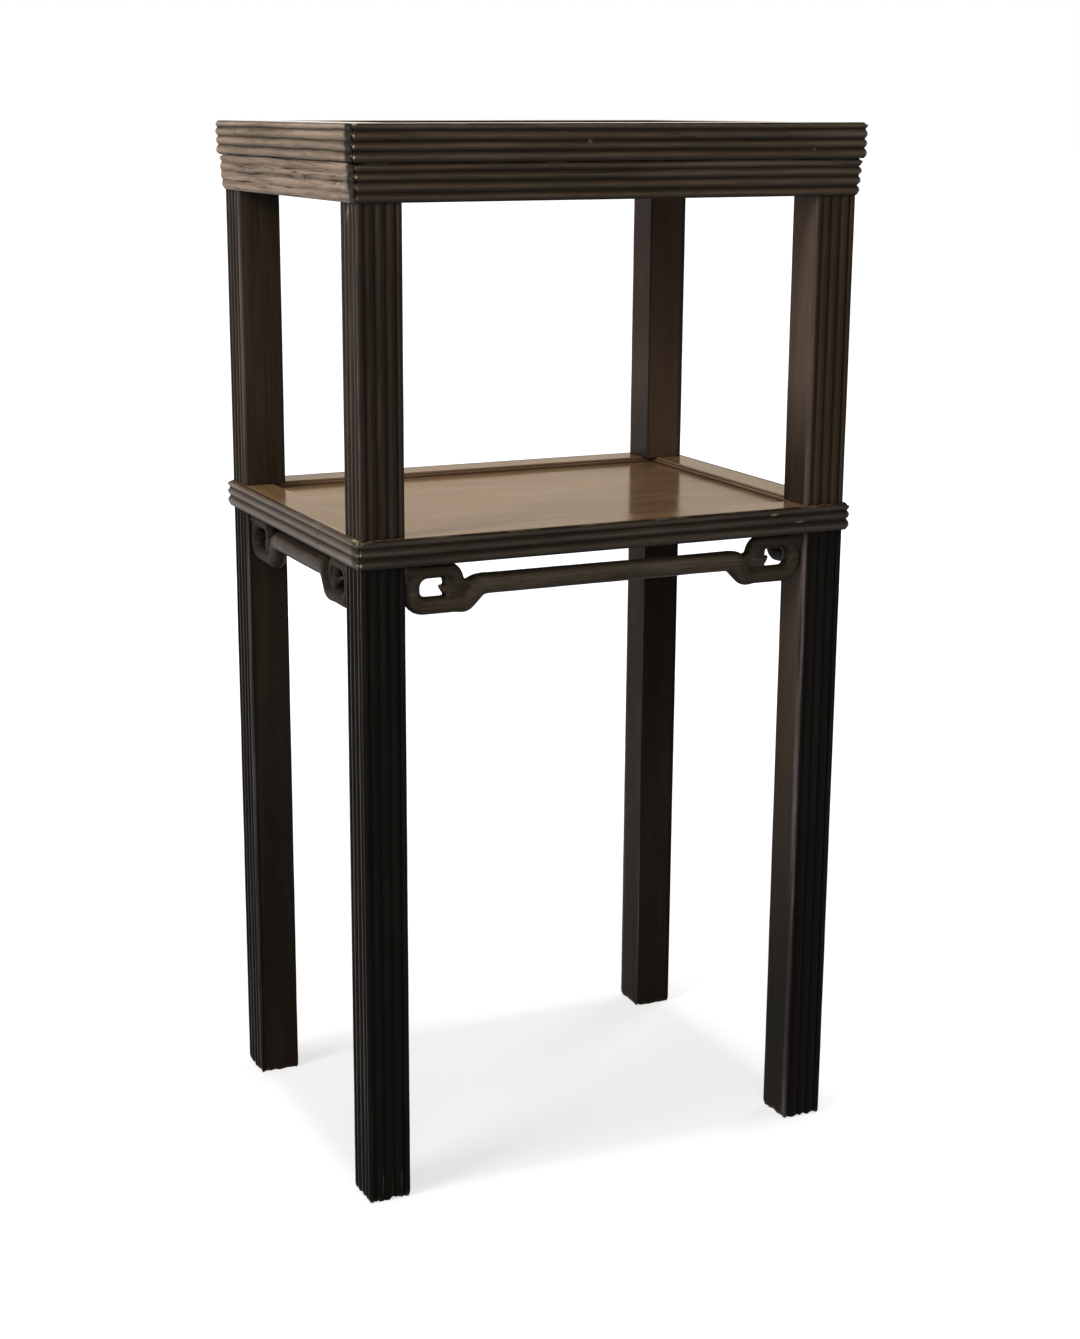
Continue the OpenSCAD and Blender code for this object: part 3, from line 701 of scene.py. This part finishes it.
class Member:
    """A frame member or apron board while it is carved. Arrays run along it and round its outline."""

    def __init__(self, half, rows, seed, scars):
        self.half = half
        self.seed = seed
        self.along = stations(-half, half, MEMBER_STEP, MEMBER_ENDS)[:, None]
        self.inward0, self.up0, self.crest0, self.reed_at, self.on_reed = rows[:, :5].T
        self.height = self.up0.max()
        self.normal, self.way = outward(rows[:, :2])
        self.inward = self.inward0 + 0 * self.along
        self.up = self.up0 + 0 * self.along
        self.hit = dents(self.along, self.way, scars)
        self.end = half - np.abs(self.along)
        self.outer = clamped(1 - self.inward0 / OUTER_W)
        self.seam = hump(self.end, SEAM_W)
        chips = wobble(self.up0 * 1.7 + 5 * np.sign(self.along), seed + 23, 9)
        self.chipped = clamped(chips) * hump(self.end, CHIP_W)

    def cut_reeds(self, rough, flat):
        """Reeds and grooves, hand-cut and so uneven. flat wears the grooves down."""
        for g in range(1, int(round(self.reed_at.max()))):
            near = clamped(1 - np.abs(self.reed_at - g)) * self.on_reed
            shallow = wobble(self.along, self.seed + 7 * g + 3, 60) * 0.35 + 0.12
            self.up += near * wobble(self.along, self.seed + 11 * g, 160) * 0.42 * rough
            self.inward -= near**2 * shallow * rough
            self.inward -= near**2 * flat * (0.5 + 0.5 * wobble(self.along, self.seed + 5 * g, 90))
        uneven = 0.5 + 0.5 * ripple(self.along, self.way, self.seed + 5, 40, 7)
        self.inward += self.on_reed * uneven * 0.14 * rough

    def wear(self):
        """Dents, round corners, chips, the line at each mitre and the notch in the top edge."""
        self.inward += np.abs(self.normal[:, 0]) * self.hit * self.on_reed
        self.up -= np.abs(self.normal[:, 1]) * self.hit * (self.up0 > self.height / 2)
        radius = CORNER_R + 0.6 * wobble(self.up0 * 2.3, self.seed + 21, 17)
        self.inward += corner_fillet(self.end, radius) * self.outer
        self.inward += self.chipped * CHIP_DEPTH * self.on_reed
        self.inward += self.seam * (0.2 + 0.8 * (1 - self.crest0)) * self.on_reed
        notch = hump(self.end, NOTCH_W) * clamped(1.6 - self.inward0 / 8)
        self.up -= notch * (self.up0 > self.height - 1.5) * NOTCH_DEPTH

    def open_joint(self, gap):
        """Lifts the outer part of the foot by the gap, a function of the place along it."""
        low = clamped(1 - self.up0 / 1.5) * clamped(1 - self.inward0 / 16)
        self.up += low * gap(self.along)

    def grid(self, foot):
        inward = np.maximum(self.inward, 0.02)
        up = np.minimum(self.up, self.height)
        x = self.along * (self.half - inward) / self.half
        return np.stack([x, inward, foot + up], axis=-1)

    def looks(self, faded, flat):
        """Crest, wear with painted glints, and bleaching. Faded members are dark at the front end, up to
        a ragged edge.
        """
        crest = 1 - (1 - self.crest0) * (1 - 0.6 * flat)
        crest = crest * (1 - self.seam * 0.8 * self.on_reed)
        crest = crest - np.clip(self.hit * 1.6, 0, 0.9) * self.on_reed
        from_front = self.half - self.along
        crest = crest * (1 - 0.85 * clamped((BAND_W - from_front) / 4) * faded * self.on_reed)
        # Painted highlight: a glint dot on each reed beside the mitre, kept with the chips in the wear
        glint = hump(self.end - GLINT_AT, GLINT_W) * clamped(self.crest0) ** 30
        glint = glint * self.on_reed * (self.up0 < self.height - 4)
        worn = glint * 2 * (1 - faded) + self.chipped * self.outer * self.crest0**1.5 * 0.6
        ridge = hump(self.up0 - self.height, 0.9) * self.on_reed
        worn = worn + 0.15 * ridge * clamped(wobble(self.along, self.seed + 31, 50))
        ragged = 2.5 * wobble(self.up0 * 1.3, self.seed + 41, 9)
        bleached = faded * clamped((from_front - BLEACH_START + ragged) / BLEACH_RUN)
        return clamped(crest), clamped(worn), bleached


def member(piece, node, side, ring, rows, woods, seed, rough, scars, faded=0.0, flat=0.0, gap=None):
    """A mitred frame member or apron board. rough scales the hand-cut unevenness, scars are marks
    in its face, faded bleaches it but for its front end, flat wears its grooves down, and gap
    opens a joint below it."""
    work = Member(ring.half[side % 2], rows, seed, scars)
    work.cut_reeds(rough, flat)
    work.wear()
    if gap is not None:
        work.open_joint(gap)
    place = side_place(side, ring.half)
    name = f"{piece}_{SIDES[side]}"
    looks = work.looks(faded, flat)
    made = skin(name, work.grid(ring.foot), place, woods, *looks, which=rows[:, 5])
    stands_for(made, f"{node}_{SIDES[side]}")


def left_gap(along):
    """Height of the open joint between the left frame member and its apron."""
    return 0.5 + 0.3 * wobble(along, 77, 120) + 0.12 * wobble(along, 78, 22)


def ring_of(nodes):
    """Sizes of the frame or apron whose CAD nodes' names start so."""
    low, high = span(f"{nodes}_front")
    half = (span(f"{nodes}_right")[1][0], -low[1])
    return Ring(half, low[2], high[1] - low[1], high[2])


def build_members(top, apron, shelf):
    top_rows = frame_outline(top.width - STEP_W, top.top - top.foot, TOP_GROOVES, 0)
    apron_rows = apron_outline(apron.width, top.foot - apron.foot, APRON_GROOVES)
    shelf_rows = frame_outline(shelf.width - STEP_W, shelf.top - shelf.foot, SHELF_GROOVES, 1)
    for i, side in enumerate(SIDES):
        left = side == "left"
        reach = (-top.half[i % 2], top.half[i % 2])
        scars = marks(100 + i, 26 if left else 7, reach, (0, 30), (1.0, 9.0), (0.25, 0.6), (0.1, 0.45))
        member(
            "edge", "top_rail", i, top, top_rows, [edge_wood, top_wood],
            10 + 40 * i, 1.0 if left else 0.4, scars, float(left), gap=left_gap if left else None,
        )
        scars = marks(200 + i, 90 if left else 9, reach, (1, 30), (4.0, 26.0), (0.2, 0.4), (0.2, 0.55))
        member(
            "apron_board", "apron", i, apron, apron_rows, [edge_wood],
            300 + 40 * i, 1.5 if left else 0.7, scars, float(left), 0.7 * left,
        )
        scars = marks(400 + i, 8, reach, (0, 22), (0.8, 4.0), (0.3, 0.7), (0.1, 0.3))
        member(
            "shelf_edge", "shelf_rail", i, shelf, shelf_rows,
            [shelf_edge_wood, rail_top_wood], 500 + 40 * i, 0.35, scars, 0.38 * left,
        )


# Panels


def board_outline(half_y, thick):
    """Outline of a panel, softly rounded at its upper edges: across and up."""
    edge = PANEL_EDGE
    inner = np.linspace(-half_y + 1.0, half_y - 1.0, BOARD_POINTS)
    y = np.concatenate([[-half_y + edge / 2], inner, [half_y - edge / 2]])
    rows = [(v, thick) for v in y] + [(half_y, thick - edge), (half_y, edge)]
    rows += [(v, 0.0) for v in y[::-6]] + [(-half_y, edge), (-half_y, thick - edge)]
    return np.array(rows).T


def board(name, node, ring, face):
    """Panel sunk in its frame, with softly rounded upper edges and a barely uneven face."""
    half_x, half_y = (v - (ring.width + PANEL_GAP) for v in ring.half)
    low = span(node)[0][2]
    thick = ring.top - RECESS - low
    across, up = board_outline(half_y, thick)
    along = stations(-half_x, half_x, BOARD_STEP, BOARD_ENDS)[:, None]
    top = up > thick - 0.1
    margin = np.minimum(half_x - np.abs(along), half_y - np.abs(across))
    z = up + ripple(along, across, len(name), 160, 90, 14) * 0.12 * clamped(margin / 12) * top
    z = z - clamped(1 - (half_x - np.abs(along)) / 0.6) * 0.25 * top
    grid = np.stack([*np.broadcast_arrays(along, across), low + z], axis=-1)
    # Grime and painted shade darken the panel within a few millimetres of its frame
    crest = clamped(0.25 + margin / 2.5)
    piece = skin(name, grid, lambda p: p, [face, under_wood], crest, which=np.where(top, 0, 1))
    stands_for(piece, node)


# Posts and legs


def over_groove(y):
    """1 on the reeded face, 0 at the depth of its grooves."""
    return 1 - min(max(y, 0.0), LEG_GROOVE) / LEG_GROOVE


def leg_outline(width):
    """Outline of a post: x and y inwards from its two reeded faces, and how high each point stands."""
    edge = (width - LEG_REEDS * LEG_REED_W) / 2
    corner = edge + LEG_GROOVE - sqrt(2 * edge * LEG_GROOVE)
    lean = atan2(LEG_GROOVE - corner, edge - corner)
    half = []
    for a in np.linspace(radians(225), 2 * pi + lean, REED_POINTS):
        x, y = corner + corner * cos(a), corner + corner * sin(a)
        half.append((x, y, over_groove(y) if a > radians(280) else 1.0))
    grooves = [edge + i * LEG_REED_W for i in range(LEG_REEDS + 1)]
    for d, x, c, _ in reed_column(grooves, LEG_GROOVE)[1:]:
        half.append((x, d, c))
    for a in np.linspace(pi - lean, 2 * pi, REED_POINTS)[1:]:
        x, y = width - corner + corner * cos(a), corner + corner * sin(a)
        half.append((x, y, over_groove(y) if a < radians(260) else 1.0))
    for y in np.linspace(corner + 3, width - 1.6, 8):
        half.append((width, y, PLAIN))
    inner = width - LEG_ARRIS
    for a in np.linspace(0, pi / 4, 3):
        half.append((inner + LEG_ARRIS * cos(a), inner + LEG_ARRIS * sin(a), 1.0))
    half = np.array(half)
    other = half[1:-1][::-1][:, [1, 0, 2]]
    return np.concatenate([half, other])


class Upright:
    """A post or leg while it is carved. Arrays run along it and round its outline."""

    def __init__(self, length, rows, seed, scars):
        self.seed = seed
        self.along = stations(0, length, UPRIGHT_STEP, UPRIGHT_ENDS)[:, None]
        self.base = rows[:, :2]
        self.crest0 = rows[:, 2]
        self.normal, self.way = outward(self.base)
        self.scarred = dents(self.along, self.way, scars)
        self.hit = self.scarred + (0.5 + 0.5 * ripple(self.along, self.way, seed, 60, 8)) * 0.1
        slope = clamped(1 - np.abs(self.crest0 - 0.5) * 2)
        self.hit += slope * wobble(self.along, seed + 2, 90) * 0.1
        ends = np.minimum(self.along, length - self.along)
        self.hit += clamped(1 - ends / 0.6) * 0.2
        self.worn = np.zeros(self.hit.shape)
        self.lifted = 0.0

    def wear_foot(self, zone):
        """Ragged, worn lower end over the height of the zone."""
        near = clamped(1 - self.along / zone)
        ragged = 0.5 + 0.5 * ripple(0.02 * self.along, self.way, self.seed + 4, 50, 6)
        ragged = np.clip(ragged, 0.05, 1.4)
        self.hit = self.hit + near**2 * 1.6 * ragged + near**5 * 0.8
        self.worn = near**2 * ragged * 0.15 * self.crest0
        splinters = clamped(ripple(0.02 * self.along, self.way, self.seed + 6, 50, 3.5))
        self.lifted = near**2 * 1.5 * splinters

    def grid(self):
        xy = self.base[None] - self.normal[None] * self.hit[..., None]
        up = np.broadcast_to(self.along + self.lifted, self.hit.shape)
        return np.concatenate([up[..., None], xy], axis=-1)

    def looks(self, corner, look, flat_left):
        """Crest, wear, bleaching with painted crest highlights, and brownness. Plain faces turned to the
        left darken downwards, as painted shade.
        """
        arris = clamped((3.5 - self.base.max(axis=1)) / 2)
        crest = clamped(self.crest0 - np.clip(self.scarred * 1.5, 0, 0.6)) * (1 - 0.45 * arris)
        if flat_left:
            crest = 1 - (1 - crest) * (1 - 0.8 * (self.base[:, 1] > self.base[:, 0]))
        to_left = rotated(corner, *self.normal.T)[0] < -0.25
        # Painted shade: plain faces turned to the left darken towards the foot
        shade_towards_foot = np.where(to_left, np.clip(self.along / look.dim, 0.2, 1) ** 1.5, 1.0)
        plain = (np.abs(self.crest0 - PLAIN) < 0.01).astype(float)
        reeds, crests, plains = look.bleach
        streaky = 0.75 + 0.5 * ripple(self.along, self.way, self.seed + 8, 150, 6)
        # Pale lines on the crests of reeds turned to the left are a painted highlight
        faded = (reeds + crests * self.crest0**24 * (1 - arris)) * (1 - plain) * streaky
        faded = clamped(faded + plains * plain * shade_towards_foot)
        reeds, plains, lefts = look.warmth
        brown = np.where(plain > 0, np.where(to_left, lefts, plains) * shade_towards_foot, reeds)
        return crest, self.worn, faded, brown


def upright(piece, node, corner, half, low, high, rows, seed, scars, look, flat_left=False):
    """One post or leg. flat_left is for the front left post, whose left face is scuffed nearly even."""
    work = Upright(high - low, rows, seed, scars)
    if look.foot:
        work.wear_foot(look.foot)
    place = corner_place(corner, half, low)
    name = f"{piece}_{CORNERS[corner]}"
    looks = work.looks(corner, look, flat_left)
    made = skin(name, work.grid(), place, [look.material], *looks)
    stands_for(made, f"{node}_{CORNERS[corner]}")


def build_uprights(half, leg_w, shelf, apron_foot):
    rows = leg_outline(leg_w)
    for i in range(len(CORNERS)):
        scars = marks(600 + i, 10, (5, 228), (0, 60), (1.0, 6.0), (0.25, 0.6), (0.1, 0.3))
        look = Look(post_wood, 0.0, POST_BLEACH[i], POST_WARMTH[i], POST_DIM)
        upright(
            "upper_post", "post", i, half, shelf.top, apron_foot, rows,
            700 + 17 * i, scars, look, flat_left=i == 0,
        )
        scars = marks(800 + i, 18, (0, 480), (0, 60), (1.0, 9.0), (0.25, 0.6), (0.1, 0.35))
        look = Look(leg_wood, FOOT_WEAR, LEG_BLEACH, LEG_WARMTH[i], LEG_DIM)
        upright("lower_leg", "leg", i, half, 0.0, shelf.foot, rows, 850 + 17 * i, scars, look)


# Stretchers


def bend_points(centre, radius, start, turn):
    """Points on an arc in the x-z plane. Angles are in degrees, from +x towards +z."""
    angles = np.radians(np.linspace(start, start + turn, BEND_POINTS))
    return [(centre[0] + radius * cos(a), centre[1] + radius * sin(a)) for a in angles]


def half_widths(share, widths):
    """Half width at each share of a path, from a number or a list of (share, half width)."""
    return np.interp(share, *zip(*widths)) if isinstance(widths, list) else np.full(len(share), widths)


def tube(path, radii, depths):
    """Closed tube with rounded ends along a path in the x-z plane. radii are its half widths in
    that plane, depths its half widths across it."""
    path = np.array(path, dtype=float)
    far = np.concatenate([[0.0], np.cumsum(np.linalg.norm(np.diff(path, axis=0), axis=1))])
    wide = half_widths(far / far[-1], radii)
    deep = half_widths(far / far[-1], depths)
    ahead = np.gradient(path, axis=0)
    ahead /= np.linalg.norm(ahead, axis=1, keepdims=True)
    across = np.stack([-ahead[:, 1], ahead[:, 0]], axis=1)
    rings = [(0, -0.85, 0.5), (0, -0.5, 0.85)]
    rings += [(i, 0.0, 1.0) for i in range(len(path))]
    rings += [(-1, 0.5, 0.85), (-1, 0.85, 0.5)]
    points = []
    for i, push, size in rings:
        at = path[i] + ahead[i] * push * min(wide[i], CAP_REACH)
        side, w, d = across[i], wide[i] * size, deep[i] * size
        for a in np.linspace(0, 2 * pi, TUBE_SIDES, endpoint=False):
            c = cos(a)
            points.append((at[0] + side[0] * w * c, d * sin(a), at[1] + side[1] * w * c))
    return points, ring_faces(len(rings), TUBE_SIDES)


def slab(outline, thick):
    """Plate in the x-z plane with softened edges, from its outline."""
    outline = np.array(outline, dtype=float)
    middle = outline.mean(axis=0)
    spokes = outline - middle
    shrunk = middle + spokes * (1 - SLAB_EDGE / np.linalg.norm(spokes, axis=1, keepdims=True))
    half = thick / 2
    layers = [(shrunk, -half), (outline, SLAB_EDGE - half), (outline, half - SLAB_EDGE), (shrunk, half)]
    points = [(x, y, z) for ring, y in layers for x, z in ring]
    return points, ring_faces(len(layers), len(outline))


def scroll_forms(middle, lift):
    """Closed forms that make up half of a stretcher, from the leg to past its middle.
    lift raises the rod."""
    rod_z = ROD_Z + lift
    lower = bend_points((16.2, ARM_Z + 9.4), 9.4, 180, 90)
    leg_arm = [(6.8, -14), (6.8, -19)] + lower + [(30, ARM_Z), (42, ARM_Z)]
    shoulder = bend_points((18.8, -18), 12, 180, -90)
    top = [(0.5, -6.1), (8, -6.1), (18.8, -6), (33.3, -6)]
    lobe = top + bend_points((33.3, -15), 9, 90, -90)
    beak = bend_points((37.2, -15), 5.6, 0, -112) + [(31.9, -20), (29.2, -18.2)]
    rise = [(40, ARM_Z)] + bend_points((46.2, ARM_Z + 5), 5, -90, 50)
    rise += bend_points((65.3, rod_z - 13), 13, 140, -50) + [(68, rod_z)]
    rod = [(65.3, rod_z), (68, rod_z), (middle + 4, rod_z)]
    beak_radii = [(0, 5.6), (0.45, 4.7), (0.75, 4.2), (1, 1.5)]
    beak_depths = [(0, 6), (0.5, 5.4), (0.8, 4.6), (1, 2.2)]
    return [
        tube(leg_arm, ARM_R, ARM_R),
        tube(shoulder, [(0, ARM_R), (1, LOBE_R)], [(0, ARM_R), (1, 6.3)]),
        tube(lobe, LOBE_R, [(0, 6.6), (0.6, 6.4), (1, 6.0)]),
        tube(beak, beak_radii, beak_depths),
        tube(rise, [(0, ARM_R), (0.55, 8.9), (1, ROD_R)], [(0, ARM_R), (1, ROD_R)]),
        tube(rod, ROD_R, ROD_R),
        slab([(36, -12), (56, -15.6), (57, -22), (52, -30), (33, -31), (32, -18)], 9.4),
        slab([(0.4, -0.4), (13, -0.4), (12, -9), (9, -13), (0.4, -14)], 11.0),
        tube(bend_points((17.6, -21.0), 9.0, 180, 90), 5.0, 6.2),
        tube(bend_points((61.5, rod_z - 12.2), 12.2, 128, -38), ROD_R, ROD_R - 0.3),
        tube([(33.8, -10.5), (34.6, -15.5)], 3.0, 4.6),
    ]


def joined(name, forms, middle):
    """One voxel mesh round the forms and their mirror images about the stretcher's middle."""
    points, faces = [], []
    for form, form_faces in forms:
        for mirror in (1, -1):
            base = len(points)
            points += [(mirror * (x - middle), y, z) for x, y, z in form]
            faces += [[base + i for i in face[::mirror]] for face in form_faces]
    rough = bpy.data.meshes.new(name + "_forms")
    rough.from_pydata(points, [], faces)
    turn_out(rough)
    holder = linked(name + "_forms", rough)
    remesh = holder.modifiers.new("voxels", "REMESH")
    remesh.mode = "VOXEL"
    remesh.voxel_size = VOXEL
    shown = holder.evaluated_get(bpy.context.evaluated_depsgraph_get())
    mesh = bpy.data.meshes.new_from_object(shown)
    mesh.name = name
    mesh.materials.clear()
    bpy.data.objects.remove(holder)
    bpy.data.meshes.remove(rough)
    return mesh


def points_and_edges(mesh):
    co = np.zeros(len(mesh.vertices) * 3)
    mesh.vertices.foreach_get("co", co)
    edges = np.zeros(len(mesh.edges) * 2, dtype=np.int64)
    mesh.edges.foreach_get("vertices", edges)
    return co.reshape(-1, 3), edges.reshape(-1, 2)


def smoothed(values, edges, rounds):
    """The values after rounds of moving halfway to the average of their neighbours."""
    degree = np.bincount(edges.ravel(), minlength=len(values))[:, None]
    for _ in range(rounds):
        total = np.zeros_like(values)
        np.add.at(total, edges[:, 0], values[edges[:, 1]])
        np.add.at(total, edges[:, 1], values[edges[:, 0]])
        values = values + (total / degree - values) * 0.5
    return values


def stretcher_marks(co, normals, dip, middle, shade):
    """Crest, wear and plain of a stretcher. dip is how hollow each point lies. The crest holds
    painted shade where the surface turns from the front or faces the floor, and towards the scroll
    ends; the wear holds real wear with a painted highlight on convex edges.
    """
    # Painted shade: darker where the surface turns from the front and where it faces the floor
    side_shade = clamped((np.hypot(normals[:, 0], normals[:, 2]) - 0.5) / 0.5)
    down = clamped((-normals[:, 2] - 0.2) / 0.6)
    scroll = clamped((SCROLL_END - middle + np.abs(co[:, 0])) / 12)
    crest = clamped(0.9 - dip * 4 - 0.55 * side_shade - 0.3 * down) * (1 - shade * scroll)
    # Convex edges lighter: wear and a painted highlight
    worn = clamped(-dip * 4 - 0.45) * 0.35
    plain = clamped(dip * 5) * (1 - side_shade)
    return crest, worn, plain


def stretcher(side, half, leg_w, top):
    """One stretcher: its joined forms are smoothed and made a little uneven."""
    name = f"scroll_stretcher_{SIDES[side]}"
    node = f"stretcher_{SIDES[side]}"
    across = 1 - side % 2
    middle = half[side % 2] - leg_w
    low, high = span(node)
    inward = half[across] - abs((high[across] + low[across]) / 2)
    mesh = joined(name, scroll_forms(middle, SIDE_LIFT * (side % 2)), middle)
    co, edges = points_and_edges(mesh)
    co = smoothed(co, edges, 4)
    turn = np.arctan2(co[:, 1], co[:, 2] - ROD_Z)
    normals = vertex_normals(mesh)
    co = co - normals * (0.5 + 0.5 * ripple(co[:, 0], turn * 7, 940 + side, 45, 14))[:, None] * 0.22
    dip = ((smoothed(co, edges, 6) - co) * normals).sum(axis=1)
    dip = smoothed(dip[:, None], edges, 3)[:, 0]
    co[:, 0] = np.clip(co[:, 0], -middle + 0.05, middle - 0.05)
    co[:, 2] = np.minimum(co[:, 2], -0.05)
    crest, worn, plain = stretcher_marks(co, normals, dip, middle, SCROLL_SHADE[side % 2])
    world = side_place(side, half)(co + [0, inward, top])
    worn = np.maximum(worn, spotted(world, PALE_SPOTS))
    mesh.vertices.foreach_set("co", (world * MM).ravel())
    mesh.update()
    add_marks(mesh, co * MM + own_shift(name), crest, worn, 0.0, plain)
    wood = rod_wood if side == 0 else shaded_rod_wood
    stands_for(show(name, mesh, [wood], SHARP_CARVING), node)


def finish_battens():
    """The two battens keep their CAD meshes."""
    for node in ("top_batten", "shelf_batten"):
        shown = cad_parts[node]
        shown.data.materials.clear()
        shown.data.materials.append(batten_wood)


# Floor, world, lamps and camera


def seen_directly(n):
    """1 for camera, glossy and transmission rays, else 0."""
    path = n.node("ShaderNodeLightPath")
    seen = path.outputs["Is Camera Ray"]
    for name in ("Is Glossy Ray", "Is Transmission Ray"):
        seen = n.math("MAXIMUM", seen, path.outputs[name])
    return seen


def stage_floor():
    """Grey floor that takes the stand's soft shadow, with a glow that makes it white where seen."""
    mesh = bpy.data.meshes.new("floor")
    r = FLOOR_REACH
    mesh.from_pydata([(-r, -r, 0), (r, -r, 0), (r, r, 0), (-r, r, 0)], [], [(0, 1, 2, 3)])
    n = Nodes(bpy.data.materials.new("floor_white"))
    place = n.node("ShaderNodeTexCoord").outputs["Object"]
    far = n.node("ShaderNodeVectorMath", {0: place}, operation="LENGTH").outputs["Value"]
    level = n.remap(far, *GLOW_FROM_TO, *GLOW_LOW_HIGH)
    diffuse = n.node("ShaderNodeBsdfDiffuse", {"Color": rgba([FLOOR_GREY] * 3)})
    glow = n.node("ShaderNodeEmission", {"Strength": n.times(seen_directly(n), level)})
    both = n.node("ShaderNodeAddShader", {0: diffuse.outputs[0], 1: glow.outputs[0]})
    n.node("ShaderNodeOutputMaterial", {0: both.outputs[0]})
    mesh.materials.append(n.owner)
    linked("floor", mesh)


def white_world():
    """White up to the horizon and tan above for camera, glossy and transmission rays, so that the
    top mirrors white only at a grazing view. Even ambient light for the rest."""
    world = bpy.data.worlds.new("studio")
    scene.world = world
    n = Nodes(world)
    place = n.node("ShaderNodeTexCoord").outputs["Generated"]
    split = n.node("ShaderNodeSeparateXYZ", {0: place})
    sky = n.ramp(split.outputs["Z"], [WHITE, SKY_TAN], *HORIZON)
    seen = n.node("ShaderNodeBackground", {"Color": sky})
    soft = n.node("ShaderNodeBackground", {"Color": rgba(WHITE), "Strength": AMBIENT})
    inputs = {0: seen_directly(n), 1: soft.outputs[0], 2: seen.outputs[0]}
    both = n.node("ShaderNodeMixShader", inputs)
    n.node("ShaderNodeOutputWorld", {0: both.outputs[0]})


def lamp(name, kind, place, aim, power, size, colour):
    """Area lamp of a size in metres, or sun of a size in radians, at place and facing aim. The
    polished top doesn't mirror it."""
    data = bpy.data.lights.new(name, kind)
    if kind == "SUN":
        data.angle = size
    else:
        data.shape = "SQUARE"
        data.size = size
    data.energy = power
    data.color = colour
    made = linked(name, data)
    made.location = place
    made.rotation_euler = (Vector(aim) - Vector(place)).to_track_quat("-Z", "Y").to_euler()
    made.visible_glossy = False


def photo_camera():
    """Camera at the photograph's viewpoint. Image numbers are in its 1080 x 1339 pixels."""
    place = (-0.7482, -1.6025, 0.8120)
    yaw, pitch, roll = (radians(a) for a in (24.136, -14.477, 0.091))
    focal_px, centre_px = 2237.1, (494.9, 682.6)
    image_w, image_h, sensor = 1080, 1339, 36.0
    ahead = Vector((sin(yaw) * cos(pitch), cos(yaw) * cos(pitch), sin(pitch)))
    level = Vector((cos(yaw), -sin(yaw), 0))
    above = level.cross(ahead)
    right = cos(roll) * level + sin(roll) * above
    up = cos(roll) * above - sin(roll) * level
    data = bpy.data.cameras.new("photo_camera")
    data.sensor_width = sensor
    data.lens = focal_px / image_h * sensor
    data.shift_x = (image_w / 2 - centre_px[0]) / image_h
    data.shift_y = (centre_px[1] - image_h / 2) / image_h
    camera = linked("photo_camera", data)
    camera.matrix_world = Matrix.Translation(place) @ Matrix((right, up, -ahead)).transposed().to_4x4()
    scene.camera = camera


top_ring = ring_of("top_rail")
apron_ring = ring_of("apron")
shelf_ring = ring_of("shelf_rail")
leg_low, leg_high = span("leg_front_left")
leg_half = (-leg_low[0], -leg_low[1])
leg_width = leg_high[0] - leg_low[0]

build_members(top_ring, apron_ring, shelf_ring)
board("shelf_board", "shelf_panel", shelf_ring, panel_wood)
board("top_board", "top_panel", top_ring, top_wood)
build_uprights(leg_half, leg_width, shelf_ring, apron_ring.foot)
for number in range(len(SIDES)):
    stretcher(number, leg_half, leg_width, shelf_ring.foot)
finish_battens()
stage_floor()
white_world()
for settings in LAMPS:
    lamp(*settings)
photo_camera()
scene.view_settings.view_transform = "Standard"
